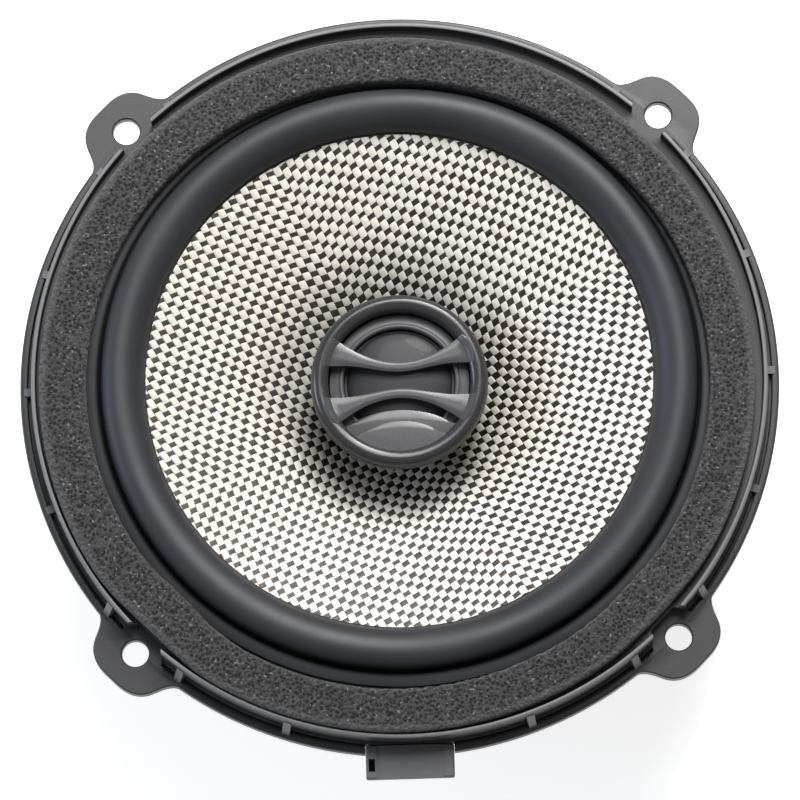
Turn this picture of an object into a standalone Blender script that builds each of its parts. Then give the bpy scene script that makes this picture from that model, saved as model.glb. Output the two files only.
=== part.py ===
"""Coaxial car speaker on a drop-in door frame.

Lengths are millimetres until MM turns them into metres. The speaker's axis is Z and it faces up, +Z. The car's plug
goes in at -Y. Heights are counted from the back of the mounting flange, the face that meets the door; at the end
the whole speaker is lifted so that it stands on height 0 with the origin in the middle of the magnet's back.
"""

import math

import bpy
import bmesh
from mathutils import Matrix, Vector

MM = 0.001
GAP = 0.3  # left between neighbouring pieces
QUARTER = math.pi / 2

# Frame: outer ring, lugs and legs.
RING_R = 92.5
FLANGE_T = 3.0
LUG_SQUARE = 131.0  # side of the square that the four lug holes stand on
LUG_R = LUG_SQUARE / math.sqrt(2)
LUG_HOLE_R = 3.25
LUG_TIP_R = 101.1
LUG_TIP_HALF_W = 7.4  # half widths of the lug's outline before its corners are rounded
LUG_BASE_HALF_W = 11.7
LUG_SHOULDER = 6.0
LUG_FILLET = 4.0
LUG_PAD_ANGLE = math.radians(7.5)
LUG_ANGLES = [QUARTER * (i + 0.5) for i in range(4)]
WALL_IN_R = 88.4  # wall round the foam
WALL_OUT_R = 89.4
CHANNEL_IN_R = 90.0
CHANNEL_OUT_R = 90.7
CHANNEL_FLOOR = 0.9
LEDGE_Z = 2.6  # ledge between the wall and the channel
RIB_W = 1.9
RIB_REACH_R = 91.5
RIB_ANGLES = (0, 19, 161, 180, 199, 251, 289, 341)
NOTCH_IN_R = 86.9  # flat notches in the wall that make room for the screw heads
NOTCH_FLOOR_IN_R = 85.4  # their floors reach a little under the seat
NOTCH_IN_HALF_W = 3.8
NOTCH_OUT_HALF_W = 7.0
SEAT_Z = 6.4  # where the surround and the foam are glued
SEAT_T = 2.8
RIM_Z = 9.5  # top of the wall round the foam
COLLAR_R = 76.0
COLLAR_Z = -6.0
WALL_T = 2.5
LEG_FOOT_R = 44.0
LEG_FOOT_Z = -25.0
WINDOW_HALF_ANGLE = math.radians(31)
REAR_PLATE_TOP = -29.2
REAR_PLATE_T = 2.5

# Moving parts. The cone's slope falls evenly from its neck to its edge.
ROLL_IN_R = 62.0
ROLL_OUT_R = 72.8
ROLL_HEIGHT = 5.2
RUBBER_T = 0.6
CONE_R = 61.8
CONE_EDGE_Z = 5.9
CONE_T = 0.5
COIL_R = 12.75
FORMER_T = 0.25
WINDING_T = 0.6
WINDING_LENGTH = 10.0
CONE_NECK_R = COIL_R + FORMER_T + GAP
SLOPE_AT_EDGE = 0.364
SLOPE_AT_NECK = 0.577
SPIDER_Z = -22.0
SPIDER_OUT_R = 41.2
SPIDER_WAVES = 5
SPIDER_WAVE_HEIGHT = 1.0

# Foam ring.
FOAM_IN_R = 76.9
FOAM_OUT_R = 87.2
FOAM_T = 4.2

# Motor, stacked behind the frame.
PLATE_R = 40.0
PLATE_T = 5.0
MAGNET_R = 42.5
MAGNET_T = 15.0
MAGNET_BORE_R = 20.0
POLE_R = 12.2
AIR_GAP_R = 14.3
TOP_PLATE_TOP = REAR_PLATE_TOP - REAR_PLATE_T - GAP
MAGNET_TOP = TOP_PLATE_TOP - PLATE_T - GAP
YOKE_TOP = MAGNET_TOP - MAGNET_T - GAP
YOKE_BOTTOM = YOKE_TOP - PLATE_T
SCREW_CIRCLE_R = 33.0
SCREW_R = 1.75
SCREW_HEAD_R = 3.2
SCREW_HEAD_T = 2.2

# Tweeter pod on its post through the pole.
POST_R = 4.9
POST_BORE_R = 2.2
CUP_R = 21.7
CUP_TOP = 2.6
CUP_FLOOR = -8.4
CUP_FLOOR_T = 1.4
GRILLE_R = 21.6
GRILLE_OPENING_R = 17.4
GRILLE_CREST_Z = 5.4
BAR_TOP = 4.65
BAR_BOTTOM = 3.2
TWEETER_COIL_R = 9.7
DOME_FOOT_R = 13.4
DOME_FOOT_Z = 0.2
DOME_HEIGHT = 2.2
DOME_SKIN = 0.3

# Car plug, wires and terminals.
PLUG_W = 21.3
PLUG_IN_R = 89.8
PLUG_OUT_R = 98.1
PLUG_PLATE_T = 1.6
PLUG_BODY_IN_R = 87.0  # the socket's body behind the front plate
PLUG_BODY_OUT_R = 94.1
PLUG_BOTTOM = -13.0
PLUG_WALL = 1.5
BLADE_X = 3.5
WIRE_R = 0.6
WIRE_CHANNEL_T = 1.8
TERMINAL_X = 6.0
BOARD_W = 20.0
BOARD_T = 1.6


def clear_scene():
    for obj in list(bpy.data.objects):
        bpy.data.objects.remove(obj, do_unlink=True)


def new_collection(name):
    collection = bpy.data.collections.new(name)
    bpy.context.scene.collection.children.link(collection)
    return collection


def paint(name, colour, roughness, metallic=0.0):
    """Material with the piece's colour."""
    material = bpy.data.materials.new(name)
    material.use_nodes = True
    shader = material.node_tree.nodes["Principled BSDF"]
    shader.inputs["Base Color"].default_value = (*colour, 1.0)
    shader.inputs["Roughness"].default_value = roughness
    shader.inputs["Metallic"].default_value = metallic
    return material


def add(name, mesh, collection):
    obj = bpy.data.objects.new(name, mesh)
    collection.objects.link(obj)
    return obj


def turned(name, profile, segments, collection):
    """Solid turned about Z. The profile's (radius, height) points run out along the top and back underneath."""
    count = len(profile)
    edges = [(i, i + 1) for i in range(count - 1)]
    if profile[0][0] > 0:
        edges.append((count - 1, 0))
    mesh = bpy.data.meshes.new(name)
    mesh.from_pydata([(r * MM, 0, z * MM) for r, z in profile], edges, [])
    obj = add(name, mesh, collection)
    screw = obj.modifiers.new("Turn", "SCREW")
    screw.axis = "Z"
    screw.steps = screw.render_steps = segments
    screw.use_merge_vertices = True
    screw.merge_threshold = 1e-5
    return obj


def curve_to_mesh(curve_obj, collection):
    """Replaces a curve object by a closed mesh object of the same name, with its loose caps welded on."""
    name = curve_obj.name
    place = curve_obj.matrix_world.copy()
    graph = bpy.context.evaluated_depsgraph_get()
    mesh = bpy.data.meshes.new_from_object(curve_obj.evaluated_get(graph))
    bpy.data.objects.remove(curve_obj)
    welded = bmesh.new()
    welded.from_mesh(mesh)
    bmesh.ops.remove_doubles(welded, verts=welded.verts, dist=1e-6)
    bmesh.ops.recalc_face_normals(welded, faces=welded.faces)
    welded.to_mesh(mesh)
    welded.free()
    obj = add(name, mesh, collection)
    obj.name = name
    obj.matrix_world = place
    return obj


def flat(name, outlines, bottom, top, collection):
    """Flat plates, one for each outline of (x, y) points, between two heights."""
    curve = bpy.data.curves.new(name, "CURVE")
    curve.dimensions = "2D"
    curve.fill_mode = "BOTH"
    curve.extrude = (top - bottom) / 2 * MM
    for outline in outlines:
        spline = curve.splines.new("POLY")
        spline.points.add(len(outline) - 1)
        spline.use_cyclic_u = True
        for point, (x, y) in zip(spline.points, outline):
            point.co = (x * MM, y * MM, 0, 1)
    obj = add(name, curve, collection)
    obj.location.z = (top + bottom) / 2 * MM
    bpy.context.view_layer.update()
    return curve_to_mesh(obj, collection)


def wire(name, points, radius, collection):
    """Round wire on a smooth path through the (x, y, z) points."""
    curve = bpy.data.curves.new(name, "CURVE")
    curve.dimensions = "3D"
    curve.bevel_depth = radius * MM
    curve.bevel_resolution = 1
    curve.use_fill_caps = True
    spline = curve.splines.new("BEZIER")
    spline.bezier_points.add(len(points) - 1)
    spline.resolution_u = 3
    for knot, point in zip(spline.bezier_points, points):
        knot.co = Vector(point) * MM
        knot.handle_left_type = knot.handle_right_type = "AUTO"
    obj = add(name, curve, collection)
    bpy.context.view_layer.update()
    return curve_to_mesh(obj, collection)


def box(name, low, high, collection):
    """Box between two (x, y, z) corners."""
    low, high = Vector(low) * MM, Vector(high) * MM
    size = high - low
    shape = bmesh.new()
    bmesh.ops.create_cube(shape, size=1.0)
    bmesh.ops.transform(shape, verts=shape.verts, matrix=Matrix.LocRotScale((low + high) / 2, None, size))
    mesh = bpy.data.meshes.new(name)
    shape.to_mesh(mesh)
    shape.free()
    return add(name, mesh, collection)


def cylinders(name, centres, radius, bottom, top, sides, collection):
    """Upright cylinders in one mesh, for cutting or joining several places at once."""
    shape = bmesh.new()
    for x, y in centres:
        middle = Vector((x, y, (top + bottom) / 2)) * MM
        bmesh.ops.create_cone(
            shape, cap_ends=True, segments=sides, radius1=radius * MM, radius2=radius * MM,
            depth=(top - bottom) * MM, matrix=Matrix.Translation(middle),
        )
    mesh = bpy.data.meshes.new(name)
    shape.to_mesh(mesh)
    shape.free()
    return add(name, mesh, collection)


def combine(obj, tool, operation):
    """Boolean of the tool on the object: UNION or DIFFERENCE."""
    modifier = obj.modifiers.new(operation.title(), "BOOLEAN")
    modifier.operation = operation
    modifier.object = tool
    modifier.solver = "EXACT"
    tool.hide_render = True
    tool.display_type = "WIRE"


def settle(obj, material, smooth_angle=35):
    """Applies the modifiers, so that smooth shading can stop at the sharp edges."""
    graph = bpy.context.evaluated_depsgraph_get()
    mesh = bpy.data.meshes.new_from_object(obj.evaluated_get(graph))
    obj.modifiers.clear()
    obj.data = mesh
    mesh.materials.clear()
    mesh.materials.append(material)
    mesh.shade_smooth()
    mesh.set_sharp_from_angle(angle=math.radians(smooth_angle))
    return obj


def polar(radius, angle):
    return radius * math.cos(angle), radius * math.sin(angle)


def spun(points, angle):
    """The (x, y) points turned about the axis."""
    cos, sin = math.cos(angle), math.sin(angle)
    return [(x * cos - y * sin, x * sin + y * cos) for x, y in points]


def arc(centre, radius, start, end, steps):
    """Points on an arc, both ends included; angles in radians."""
    angles = [start + (end - start) * i / steps for i in range(steps + 1)]
    return [(centre[0] + radius * math.cos(a), centre[1] + radius * math.sin(a)) for a in angles]


def cone_height(radius):
    """Height of the cone's front surface."""
    slope_change = (SLOPE_AT_NECK - SLOPE_AT_EDGE) / (CONE_R - CONE_NECK_R)
    inward = CONE_R - radius
    return CONE_EDGE_Z - SLOPE_AT_EDGE * inward - slope_change * inward ** 2 / 2


def frame_profile():
    """Section of the frame: ring, channel, wall round the foam, seat, collar, legs, spider ledge and rear plate."""
    seat_in_r = COLLAR_R - 5.0
    seat_back = SEAT_Z - SEAT_T
    foot_r = COLLAR_R + WALL_T
    recess_r = WALL_IN_R - 1.2
    top = [
        (seat_in_r, SEAT_Z), (WALL_IN_R, SEAT_Z), (WALL_IN_R, RIM_Z), (WALL_OUT_R, RIM_Z), (WALL_OUT_R, LEDGE_Z),
        (CHANNEL_IN_R, LEDGE_Z), (CHANNEL_IN_R, CHANNEL_FLOOR), (CHANNEL_OUT_R, CHANNEL_FLOOR),
        (CHANNEL_OUT_R, FLANGE_T), (RING_R - 0.7, FLANGE_T),
    ]
    outside = [
        (RING_R, FLANGE_T - 0.5), (RING_R, 0.4), (RING_R - 0.4, 0), (recess_r, 0), (recess_r, seat_back),
        (foot_r, seat_back), (foot_r, 0), (COLLAR_R, 0), (COLLAR_R, COLLAR_Z), (LEG_FOOT_R, LEG_FOOT_Z),
        (LEG_FOOT_R - 1.5, REAR_PLATE_TOP - REAR_PLATE_T), (MAGNET_BORE_R, REAR_PLATE_TOP - REAR_PLATE_T),
    ]
    ledge_z = SPIDER_Z - 0.6
    inside = [
        (MAGNET_BORE_R, REAR_PLATE_TOP), (LEG_FOOT_R - 4.2, REAR_PLATE_TOP), (LEG_FOOT_R - 3.6, ledge_z - 2.2),
        (LEG_FOOT_R - 6.6, ledge_z - 1.6), (LEG_FOOT_R - 6.6, ledge_z), (LEG_FOOT_R - WALL_T, ledge_z),
        (COLLAR_R - WALL_T, COLLAR_Z + 1.2), (COLLAR_R - WALL_T, seat_back - 1.2), (seat_in_r, seat_back),
    ]
    return top + outside + inside


def rounded_corner(corner, start, end, steps):
    """Short curve from start to end that bends round a corner."""
    corner, start, end = Vector(corner), Vector(start), Vector(end)
    places = [i / steps for i in range(steps + 1)]
    return [tuple(start * (1 - t) ** 2 + corner * 2 * t * (1 - t) + end * t ** 2) for t in places]


def lug_outline():
    """One lug, pointing along +X: pad from the channel out, hollow fillets, slanting flanks and rounded shoulders."""
    base = Vector((math.sqrt(RING_R ** 2 - LUG_BASE_HALF_W ** 2), LUG_BASE_HALF_W))
    shoulder = Vector((LUG_TIP_R, LUG_TIP_HALF_W))
    flank = (shoulder - base).normalized()
    # The fillet's end dips a little into the ring, so that the two outlines cross instead of touching.
    fillet_end = polar(RING_R - 0.15, (LUG_BASE_HALF_W + LUG_FILLET) / RING_R)
    tip = (LUG_TIP_R, LUG_TIP_HALF_W - LUG_SHOULDER)
    upper = arc((0, 0), CHANNEL_OUT_R + 0.2, 0, LUG_PAD_ANGLE, 2)
    upper += rounded_corner(base, fillet_end, base + flank * LUG_FILLET, 4)
    upper += rounded_corner(shoulder, shoulder - flank * LUG_SHOULDER, tip, 6)
    lower = [(x, -y) for x, y in reversed(upper[1:])]
    return upper + lower


def notch_outline(inner_r):
    """Flat notch behind one lug along +X: narrow at the foam and wide at the channel."""
    outer_r = CHANNEL_OUT_R + 0.5
    return [
        (inner_r, -NOTCH_IN_HALF_W), (outer_r, -NOTCH_OUT_HALF_W), (outer_r, NOTCH_OUT_HALF_W),
        (inner_r, NOTCH_IN_HALF_W),
    ]


def webs(name, angles, rise, collection):
    """Ribs across the channel, one at each angle, that rise from the ring's front to the wall round the foam."""
    profile = [
        (WALL_OUT_R - 0.4, CHANNEL_FLOOR - 0.4), (RIB_REACH_R, CHANNEL_FLOOR - 0.4), (RIB_REACH_R, FLANGE_T + 0.3),
        (WALL_OUT_R + 0.2, FLANGE_T + 0.4 + rise), (WALL_OUT_R - 0.4, FLANGE_T + 0.4 + rise),
    ]
    count = len(profile)
    shape = bmesh.new()
    for angle in angles:
        turn = Matrix.Rotation(angle, 4, "Z")
        sides = [[shape.verts.new(turn @ (Vector((r, y, z)) * MM)) for r, z in profile]
                 for y in (-RIB_W / 2, RIB_W / 2)]
        shape.faces.new(sides[0])
        shape.faces.new(sides[1][::-1])
        for i in range(count):
            j = (i + 1) % count
            shape.faces.new((sides[0][j], sides[0][i], sides[1][i], sides[1][j]))
    mesh = bpy.data.meshes.new(name)
    shape.to_mesh(mesh)
    shape.free()
    return add(name, mesh, collection)


def window_outline(angle):
    """Opening between two legs, seen along the axis."""
    inner_r, outer_r = LEG_FOOT_R + 4.0, COLLAR_R - WALL_T - 0.5
    inner_half = WINDOW_HALF_ANGLE * 0.9
    inner = arc((0, 0), inner_r, angle - inner_half, angle + inner_half, 5)
    outer = arc((0, 0), outer_r, angle + WINDOW_HALF_ANGLE, angle - WINDOW_HALF_ANGLE, 7)
    return inner + outer


def build_basket(parts, tools):
    basket = turned("basket", frame_profile(), 60, parts)
    lugs = flat("lug_tool", [spun(lug_outline(), a) for a in LUG_ANGLES], 0.02, FLANGE_T - 0.02, tools)
    combine(basket, lugs, "UNION")
    notches = [spun(notch_outline(NOTCH_IN_R), a) for a in LUG_ANGLES]
    combine(basket, flat("lug_notch_tool", notches, FLANGE_T - 0.02, RIM_Z + 1, tools), "DIFFERENCE")
    floors = [spun(notch_outline(NOTCH_FLOOR_IN_R), a) for a in LUG_ANGLES]
    combine(basket, flat("notch_floor_tool", floors, 0.04, FLANGE_T - 0.02, tools), "UNION")
    rib_angles = [math.radians(a) for a in RIB_ANGLES]
    rib_angles += [angle + side * LUG_PAD_ANGLE for angle in LUG_ANGLES for side in (-1, 1)]
    # The ribs on the plug's side are taller.
    tall = [a for a in rib_angles if math.sin(a) < -0.5]
    combine(basket, webs("tall_rib_tool", tall, 5.0, tools), "UNION")
    combine(basket, webs("rib_tool", [a for a in rib_angles if a not in tall], 0.0, tools), "UNION")
    holes = [polar(LUG_R, a) for a in LUG_ANGLES]
    combine(basket, cylinders("lug_hole_tool", holes, LUG_HOLE_R, -1, FLANGE_T + 1, 20, tools), "DIFFERENCE")
    windows = [window_outline(QUARTER * i) for i in range(4)]
    combine(basket, flat("window_tool", windows, LEG_FOOT_Z - 1, COLLAR_Z + 5.0, tools), "DIFFERENCE")
    screw_places = [polar(SCREW_CIRCLE_R, a) for a in LUG_ANGLES]
    low, high = REAR_PLATE_TOP - REAR_PLATE_T - 1, REAR_PLATE_TOP + 1
    combine(basket, cylinders("basket_screw_tool", screw_places, SCREW_R + GAP, low, high, 12, tools), "DIFFERENCE")
    notch_half = PLUG_W / 2 + GAP
    notch = box("notch_tool", (-notch_half, -LUG_TIP_R, -1), (notch_half, GAP - PLUG_IN_R, FLANGE_T + 1), tools)
    combine(basket, notch, "DIFFERENCE")
    settle(basket, paint("frame_plastic", (0.045, 0.045, 0.05), 0.55))


def build_foam_gasket(parts):
    bottom = SEAT_Z + GAP
    top = bottom + FOAM_T
    soft = 0.5
    profile = [
        (FOAM_IN_R, top - soft), (FOAM_IN_R + soft, top), (FOAM_OUT_R - soft, top), (FOAM_OUT_R, top - soft),
        (FOAM_OUT_R, bottom), (FOAM_IN_R, bottom),
    ]
    settle(turned("foam_gasket", profile, 48, parts), paint("foam", (0.06, 0.06, 0.065), 0.95))


def build_surround(parts):
    """Half-roll of rubber: outer foot on the frame, inner foot under the cone's edge."""
    foot_out = FOAM_IN_R - GAP
    foot_bottom = SEAT_Z + GAP
    foot_top = foot_bottom + RUBBER_T
    middle = (ROLL_IN_R + ROLL_OUT_R) / 2
    half_width = (ROLL_OUT_R - ROLL_IN_R) / 2
    steps = 8
    front = []
    back = []
    for i in range(steps + 1):
        angle = math.pi * i / steps
        across = -math.cos(angle)
        up = math.sin(angle)
        base = foot_top + (CONE_EDGE_Z - CONE_T - foot_top) * (1 - across) / 2
        front.append((middle + half_width * across, base + ROLL_HEIGHT * up))
        back.append((middle + (half_width - RUBBER_T) * across, base - RUBBER_T + ROLL_HEIGHT * up))
    foot_in = CONE_R - 3.4
    foot_in_z = cone_height(foot_in) - CONE_T - GAP
    profile = [(foot_in, foot_in_z), (CONE_R + 0.05, cone_height(CONE_R) - CONE_T - GAP)]
    profile += front[1:]
    profile += [(foot_out, foot_top), (foot_out, foot_bottom)]
    profile += back[::-1]
    profile += [(foot_in, foot_in_z - RUBBER_T)]
    settle(turned("surround", profile, 48, parts), paint("rubber", (0.02, 0.02, 0.022), 0.45))


def build_cone(parts):
    steps = 6
    radii = [CONE_NECK_R + (CONE_R - CONE_NECK_R) * i / steps for i in range(steps + 1)]
    front = [(r, cone_height(r)) for r in radii]
    back = [(r, z - CONE_T) for r, z in reversed(front)]
    settle(turned("cone", front + back, 48, parts), paint("woven_cloth", (0.45, 0.43, 0.4), 0.4))


def build_voice_coil(parts):
    inner, outer = COIL_R, COIL_R + FORMER_T
    winding_in = outer + 0.1
    middle = TOP_PLATE_TOP - PLATE_T / 2
    top = cone_height(CONE_NECK_R) + 0.7
    bottom = middle - WINDING_LENGTH / 2 - 0.5
    former = turned("voice_coil_former", [(inner, top), (outer, top), (outer, bottom), (inner, bottom)], 32, parts)
    settle(former, paint("former_film", (0.42, 0.22, 0.06), 0.35))
    high, low = middle + WINDING_LENGTH / 2, middle - WINDING_LENGTH / 2
    profile = [(winding_in, high), (winding_in + WINDING_T, high), (winding_in + WINDING_T, low), (winding_in, low)]
    winding = turned("voice_coil_winding", profile, 32, parts)
    settle(winding, paint("copper", (0.72, 0.32, 0.14), 0.3, 1.0))


def build_spider(parts):
    """Corrugated cloth disc between the coil's tube and the frame's ledge."""
    thickness = 0.5
    foot_w = 4.6
    wave_in, wave_out = CONE_NECK_R + 1.5, SPIDER_OUT_R - foot_w
    steps = SPIDER_WAVES * 2
    front = [(CONE_NECK_R, SPIDER_Z + thickness / 2)]
    for i in range(steps + 1):
        radius = wave_in + (wave_out - wave_in) * i / steps
        crest = -SPIDER_WAVE_HEIGHT if i % 2 else SPIDER_WAVE_HEIGHT
        front.append((radius, SPIDER_Z + thickness / 2 + crest))
    front.append((SPIDER_OUT_R, SPIDER_Z + thickness / 2))
    back = [(r, z - thickness) for r, z in reversed(front)]
    settle(turned("spider", front + back, 32, parts), paint("spider_cloth", (0.6, 0.42, 0.12), 0.9))


def ring_profile(inner, outer, bottom, top, chamfer=0.5):
    """Section of a ring with chamfered outer edges."""
    return [
        (inner, top), (outer - chamfer, top), (outer, top - chamfer), (outer, bottom + chamfer),
        (outer - chamfer, bottom), (inner, bottom),
    ]


def build_motor(parts, tools):
    steel = paint("plated_steel", (0.5, 0.5, 0.52), 0.3, 1.0)
    profile = ring_profile(AIR_GAP_R, PLATE_R, TOP_PLATE_TOP - PLATE_T, TOP_PLATE_TOP)
    top_plate = turned("top_plate", profile, 44, parts)
    places = [polar(SCREW_CIRCLE_R, a) for a in LUG_ANGLES]
    low, high = TOP_PLATE_TOP - PLATE_T - 1, TOP_PLATE_TOP + 1
    holes = cylinders("plate_hole_tool", places, SCREW_R + GAP / 2, low, high, 12, tools)
    combine(top_plate, holes, "DIFFERENCE")
    settle(top_plate, steel)
    profile = ring_profile(MAGNET_BORE_R, MAGNET_R, MAGNET_TOP - MAGNET_T, MAGNET_TOP, chamfer=1.0)
    settle(turned("magnet", profile, 40, parts), paint("ferrite", (0.03, 0.03, 0.032), 0.6))
    build_yoke(parts, tools, steel)


def build_yoke(parts, tools, steel):
    """Back plate and pole in one piece, with a blind bore for the post and a wire channel under the magnet."""
    bore = POST_R + GAP + 0.1
    bore_floor = YOKE_TOP - WIRE_CHANNEL_T
    profile = [
        (0, bore_floor), (bore, bore_floor), (bore, TOP_PLATE_TOP), (POLE_R - 0.5, TOP_PLATE_TOP),
        (POLE_R, TOP_PLATE_TOP - 0.5), (POLE_R, YOKE_TOP), (PLATE_R - 0.5, YOKE_TOP), (PLATE_R, YOKE_TOP - 0.5),
        (PLATE_R, YOKE_BOTTOM + 0.5), (PLATE_R - 0.5, YOKE_BOTTOM), (0, YOKE_BOTTOM),
    ]
    yoke = turned("pole_yoke", profile, 40, parts)
    half = 2 * WIRE_R + 0.8
    channel = box("wire_channel_tool", (-half, -PLATE_R - 1, bore_floor + 0.05), (half, -1, YOKE_TOP + 0.6), tools)
    combine(yoke, channel, "DIFFERENCE")
    settle(yoke, steel)


def build_basket_screws(parts, tools):
    """Four pan-head screws from the frame into the top plate."""
    head_bottom = REAR_PLATE_TOP + 0.1
    head_top = head_bottom + SCREW_HEAD_T
    shank_end = TOP_PLATE_TOP - PLATE_T + 1.0
    profile = [
        (0, head_top), (SCREW_HEAD_R - 0.9, head_top - 0.2), (SCREW_HEAD_R, head_bottom + 0.9),
        (SCREW_HEAD_R, head_bottom), (SCREW_R, head_bottom), (SCREW_R, shank_end), (0, shank_end),
    ]
    first = turned("basket_screw_1", profile, 16, parts)
    slot_w, slot_l = 0.4, 1.9
    for half_x, half_y in ((slot_w, slot_l), (slot_l, slot_w)):
        slot = box("cross_slot_tool", (-half_x, -half_y, head_top - 1.1), (half_x, half_y, head_top + 1), tools)
        combine(first, slot, "DIFFERENCE")
    settle(first, paint("zinc_screw", (0.55, 0.53, 0.45), 0.35, 1.0))
    for i in range(4):
        screw = first if i == 0 else add(f"basket_screw_{i + 1}", first.data, parts)
        x, y = polar(SCREW_CIRCLE_R, LUG_ANGLES[i])
        screw.location = (x * MM, y * MM, 0)


def build_post(parts):
    """Tube that carries the tweeter, pressed into the pole; the tweeter's wires run up inside it."""
    top = CUP_FLOOR - CUP_FLOOR_T - GAP
    bottom = YOKE_TOP + 1.2
    profile = [(POST_BORE_R, top), (POST_R, top), (POST_R, bottom), (POST_BORE_R, bottom)]
    settle(turned("tweeter_post", profile, 24, parts), paint("post_plastic", (0.04, 0.04, 0.045), 0.5))


def build_tweeter_cup(parts):
    wire_hole_r = 3.4
    underside = CUP_FLOOR - CUP_FLOOR_T
    profile = [
        (CUP_R - 1.5, CUP_TOP), (CUP_R - 0.3, CUP_TOP), (CUP_R, CUP_TOP - 0.8), (CUP_R - 0.6, CUP_TOP - 3.4),
        (CUP_R - 2.2, CUP_TOP - 5.4), (15.0, underside + 0.8), (12.0, underside), (wire_hole_r, underside),
        (wire_hole_r, CUP_FLOOR), (12.8, CUP_FLOOR), (CUP_R - 3.6, CUP_TOP - 5.2), (CUP_R - 2.1, CUP_TOP - 3.0),
        (CUP_R - 2.0, CUP_TOP - 1.0),
    ]
    settle(turned("tweeter_cup", profile, 40, parts), paint("pod_plastic", (0.05, 0.05, 0.055), 0.4))


def waisted_bar(side):
    """Outline of one bar, narrow in the middle; side is 1 for the upper bar and -1 for the lower."""
    inner_mid, inner_end, inner_span = 2.05, 3.7, 12
    outer_mid, outer_end, outer_span = 4.35, 9.2, 15
    reach = GRILLE_OPENING_R + 0.9
    tip_y = inner_end + 0.3
    step = 3
    inner = [(x, inner_mid + (inner_end - inner_mid) * (x / inner_span) ** 2)
             for x in range(-inner_span, inner_span + 1, step)]
    outer = [(x, outer_mid + (outer_end - outer_mid) * (x / outer_span) ** 2)
             for x in range(outer_span, -outer_span - 1, -step)]
    outline = inner + [(reach, tip_y)] + outer + [(-reach, tip_y)]
    return [(x, side * y) for x, y in outline]


def lens_outline():
    """Solid panel that closes the bottom of the grille's opening, with an arched top edge."""
    arch_r, arch_centre = 18.9, (0, -29.2)
    half_angle = math.radians(38)
    arch = arc(arch_centre, arch_r, QUARTER - half_angle, QUARTER + half_angle, 8)
    end_x, end_y = arch[-1]
    start = math.atan2(end_y, end_x) + 2 * math.pi
    rim = arc((0, 0), math.hypot(end_x, end_y), start, 3 * math.pi - start, 8)
    return arch + rim[1:-1]


def build_tweeter_grille(parts, tools):
    crest_r = 19.6
    base = CUP_TOP + GAP
    profile = [
        (GRILLE_OPENING_R, 4.0), (GRILLE_OPENING_R + 0.5, 4.8), (crest_r - 0.7, GRILLE_CREST_Z - 0.15),
        (crest_r, GRILLE_CREST_Z), (crest_r + 0.8, GRILLE_CREST_Z - 0.2), (GRILLE_R - 0.4, base + 1.4),
        (GRILLE_R, base + 0.5), (GRILLE_R, base), (CUP_R - 2.5, base), (CUP_R - 2.8, 1.0), (GRILLE_OPENING_R, 1.0),
    ]
    grille = turned("tweeter_grille", profile, 40, parts)
    bars = flat("bar_tool", [waisted_bar(1), waisted_bar(-1)], BAR_BOTTOM, BAR_TOP, tools)
    combine(grille, bars, "UNION")
    combine(grille, flat("lens_tool", [lens_outline()], 2.4, 4.5, tools), "UNION")
    settle(grille, paint("grille_plastic", (0.06, 0.06, 0.065), 0.3))


def build_face_ring(parts):
    inner, outer, back = 13.8, GRILLE_OPENING_R - GAP, -0.2
    profile = [
        (inner, 1.9), (inner + 0.9, 2.1), (inner + 1.4, 1.0), (outer, 0.8), (outer, back), (inner + 0.5, back),
        (inner, 0.6),
    ]
    settle(turned("tweeter_face_ring", profile, 32, parts), paint("face_ring_plastic", (0.12, 0.12, 0.13), 0.4))


def dome_arch(radius, foot_z, steps=6):
    """Quarter of an ellipse from the dome's top down to its foot."""
    angles = [QUARTER * i / steps for i in range(steps + 1)]
    return [(radius * math.sin(a), foot_z + DOME_HEIGHT * math.cos(a)) for a in angles]


def build_tweeter_dome(parts):
    """Dome with its half-roll edge."""
    foot_top = DOME_FOOT_Z + DOME_SKIN
    crest = foot_top + 0.9
    front = dome_arch(TWEETER_COIL_R + 0.2, foot_top)
    front += [(11.0, crest), (12.0, crest - 0.1), (12.7, foot_top), (DOME_FOOT_R, foot_top)]
    back = [(DOME_FOOT_R, DOME_FOOT_Z), (12.5, DOME_FOOT_Z), (11.9, crest - 0.65), (11.1, crest - 0.6)]
    back.append((TWEETER_COIL_R + 0.2, DOME_FOOT_Z - 0.05))
    back += dome_arch(TWEETER_COIL_R + 0.2 - DOME_SKIN, DOME_FOOT_Z)[-2::-1]
    settle(turned("tweeter_dome", front + back, 24, parts), paint("dome_silk", (0.03, 0.03, 0.035), 0.5))


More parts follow.
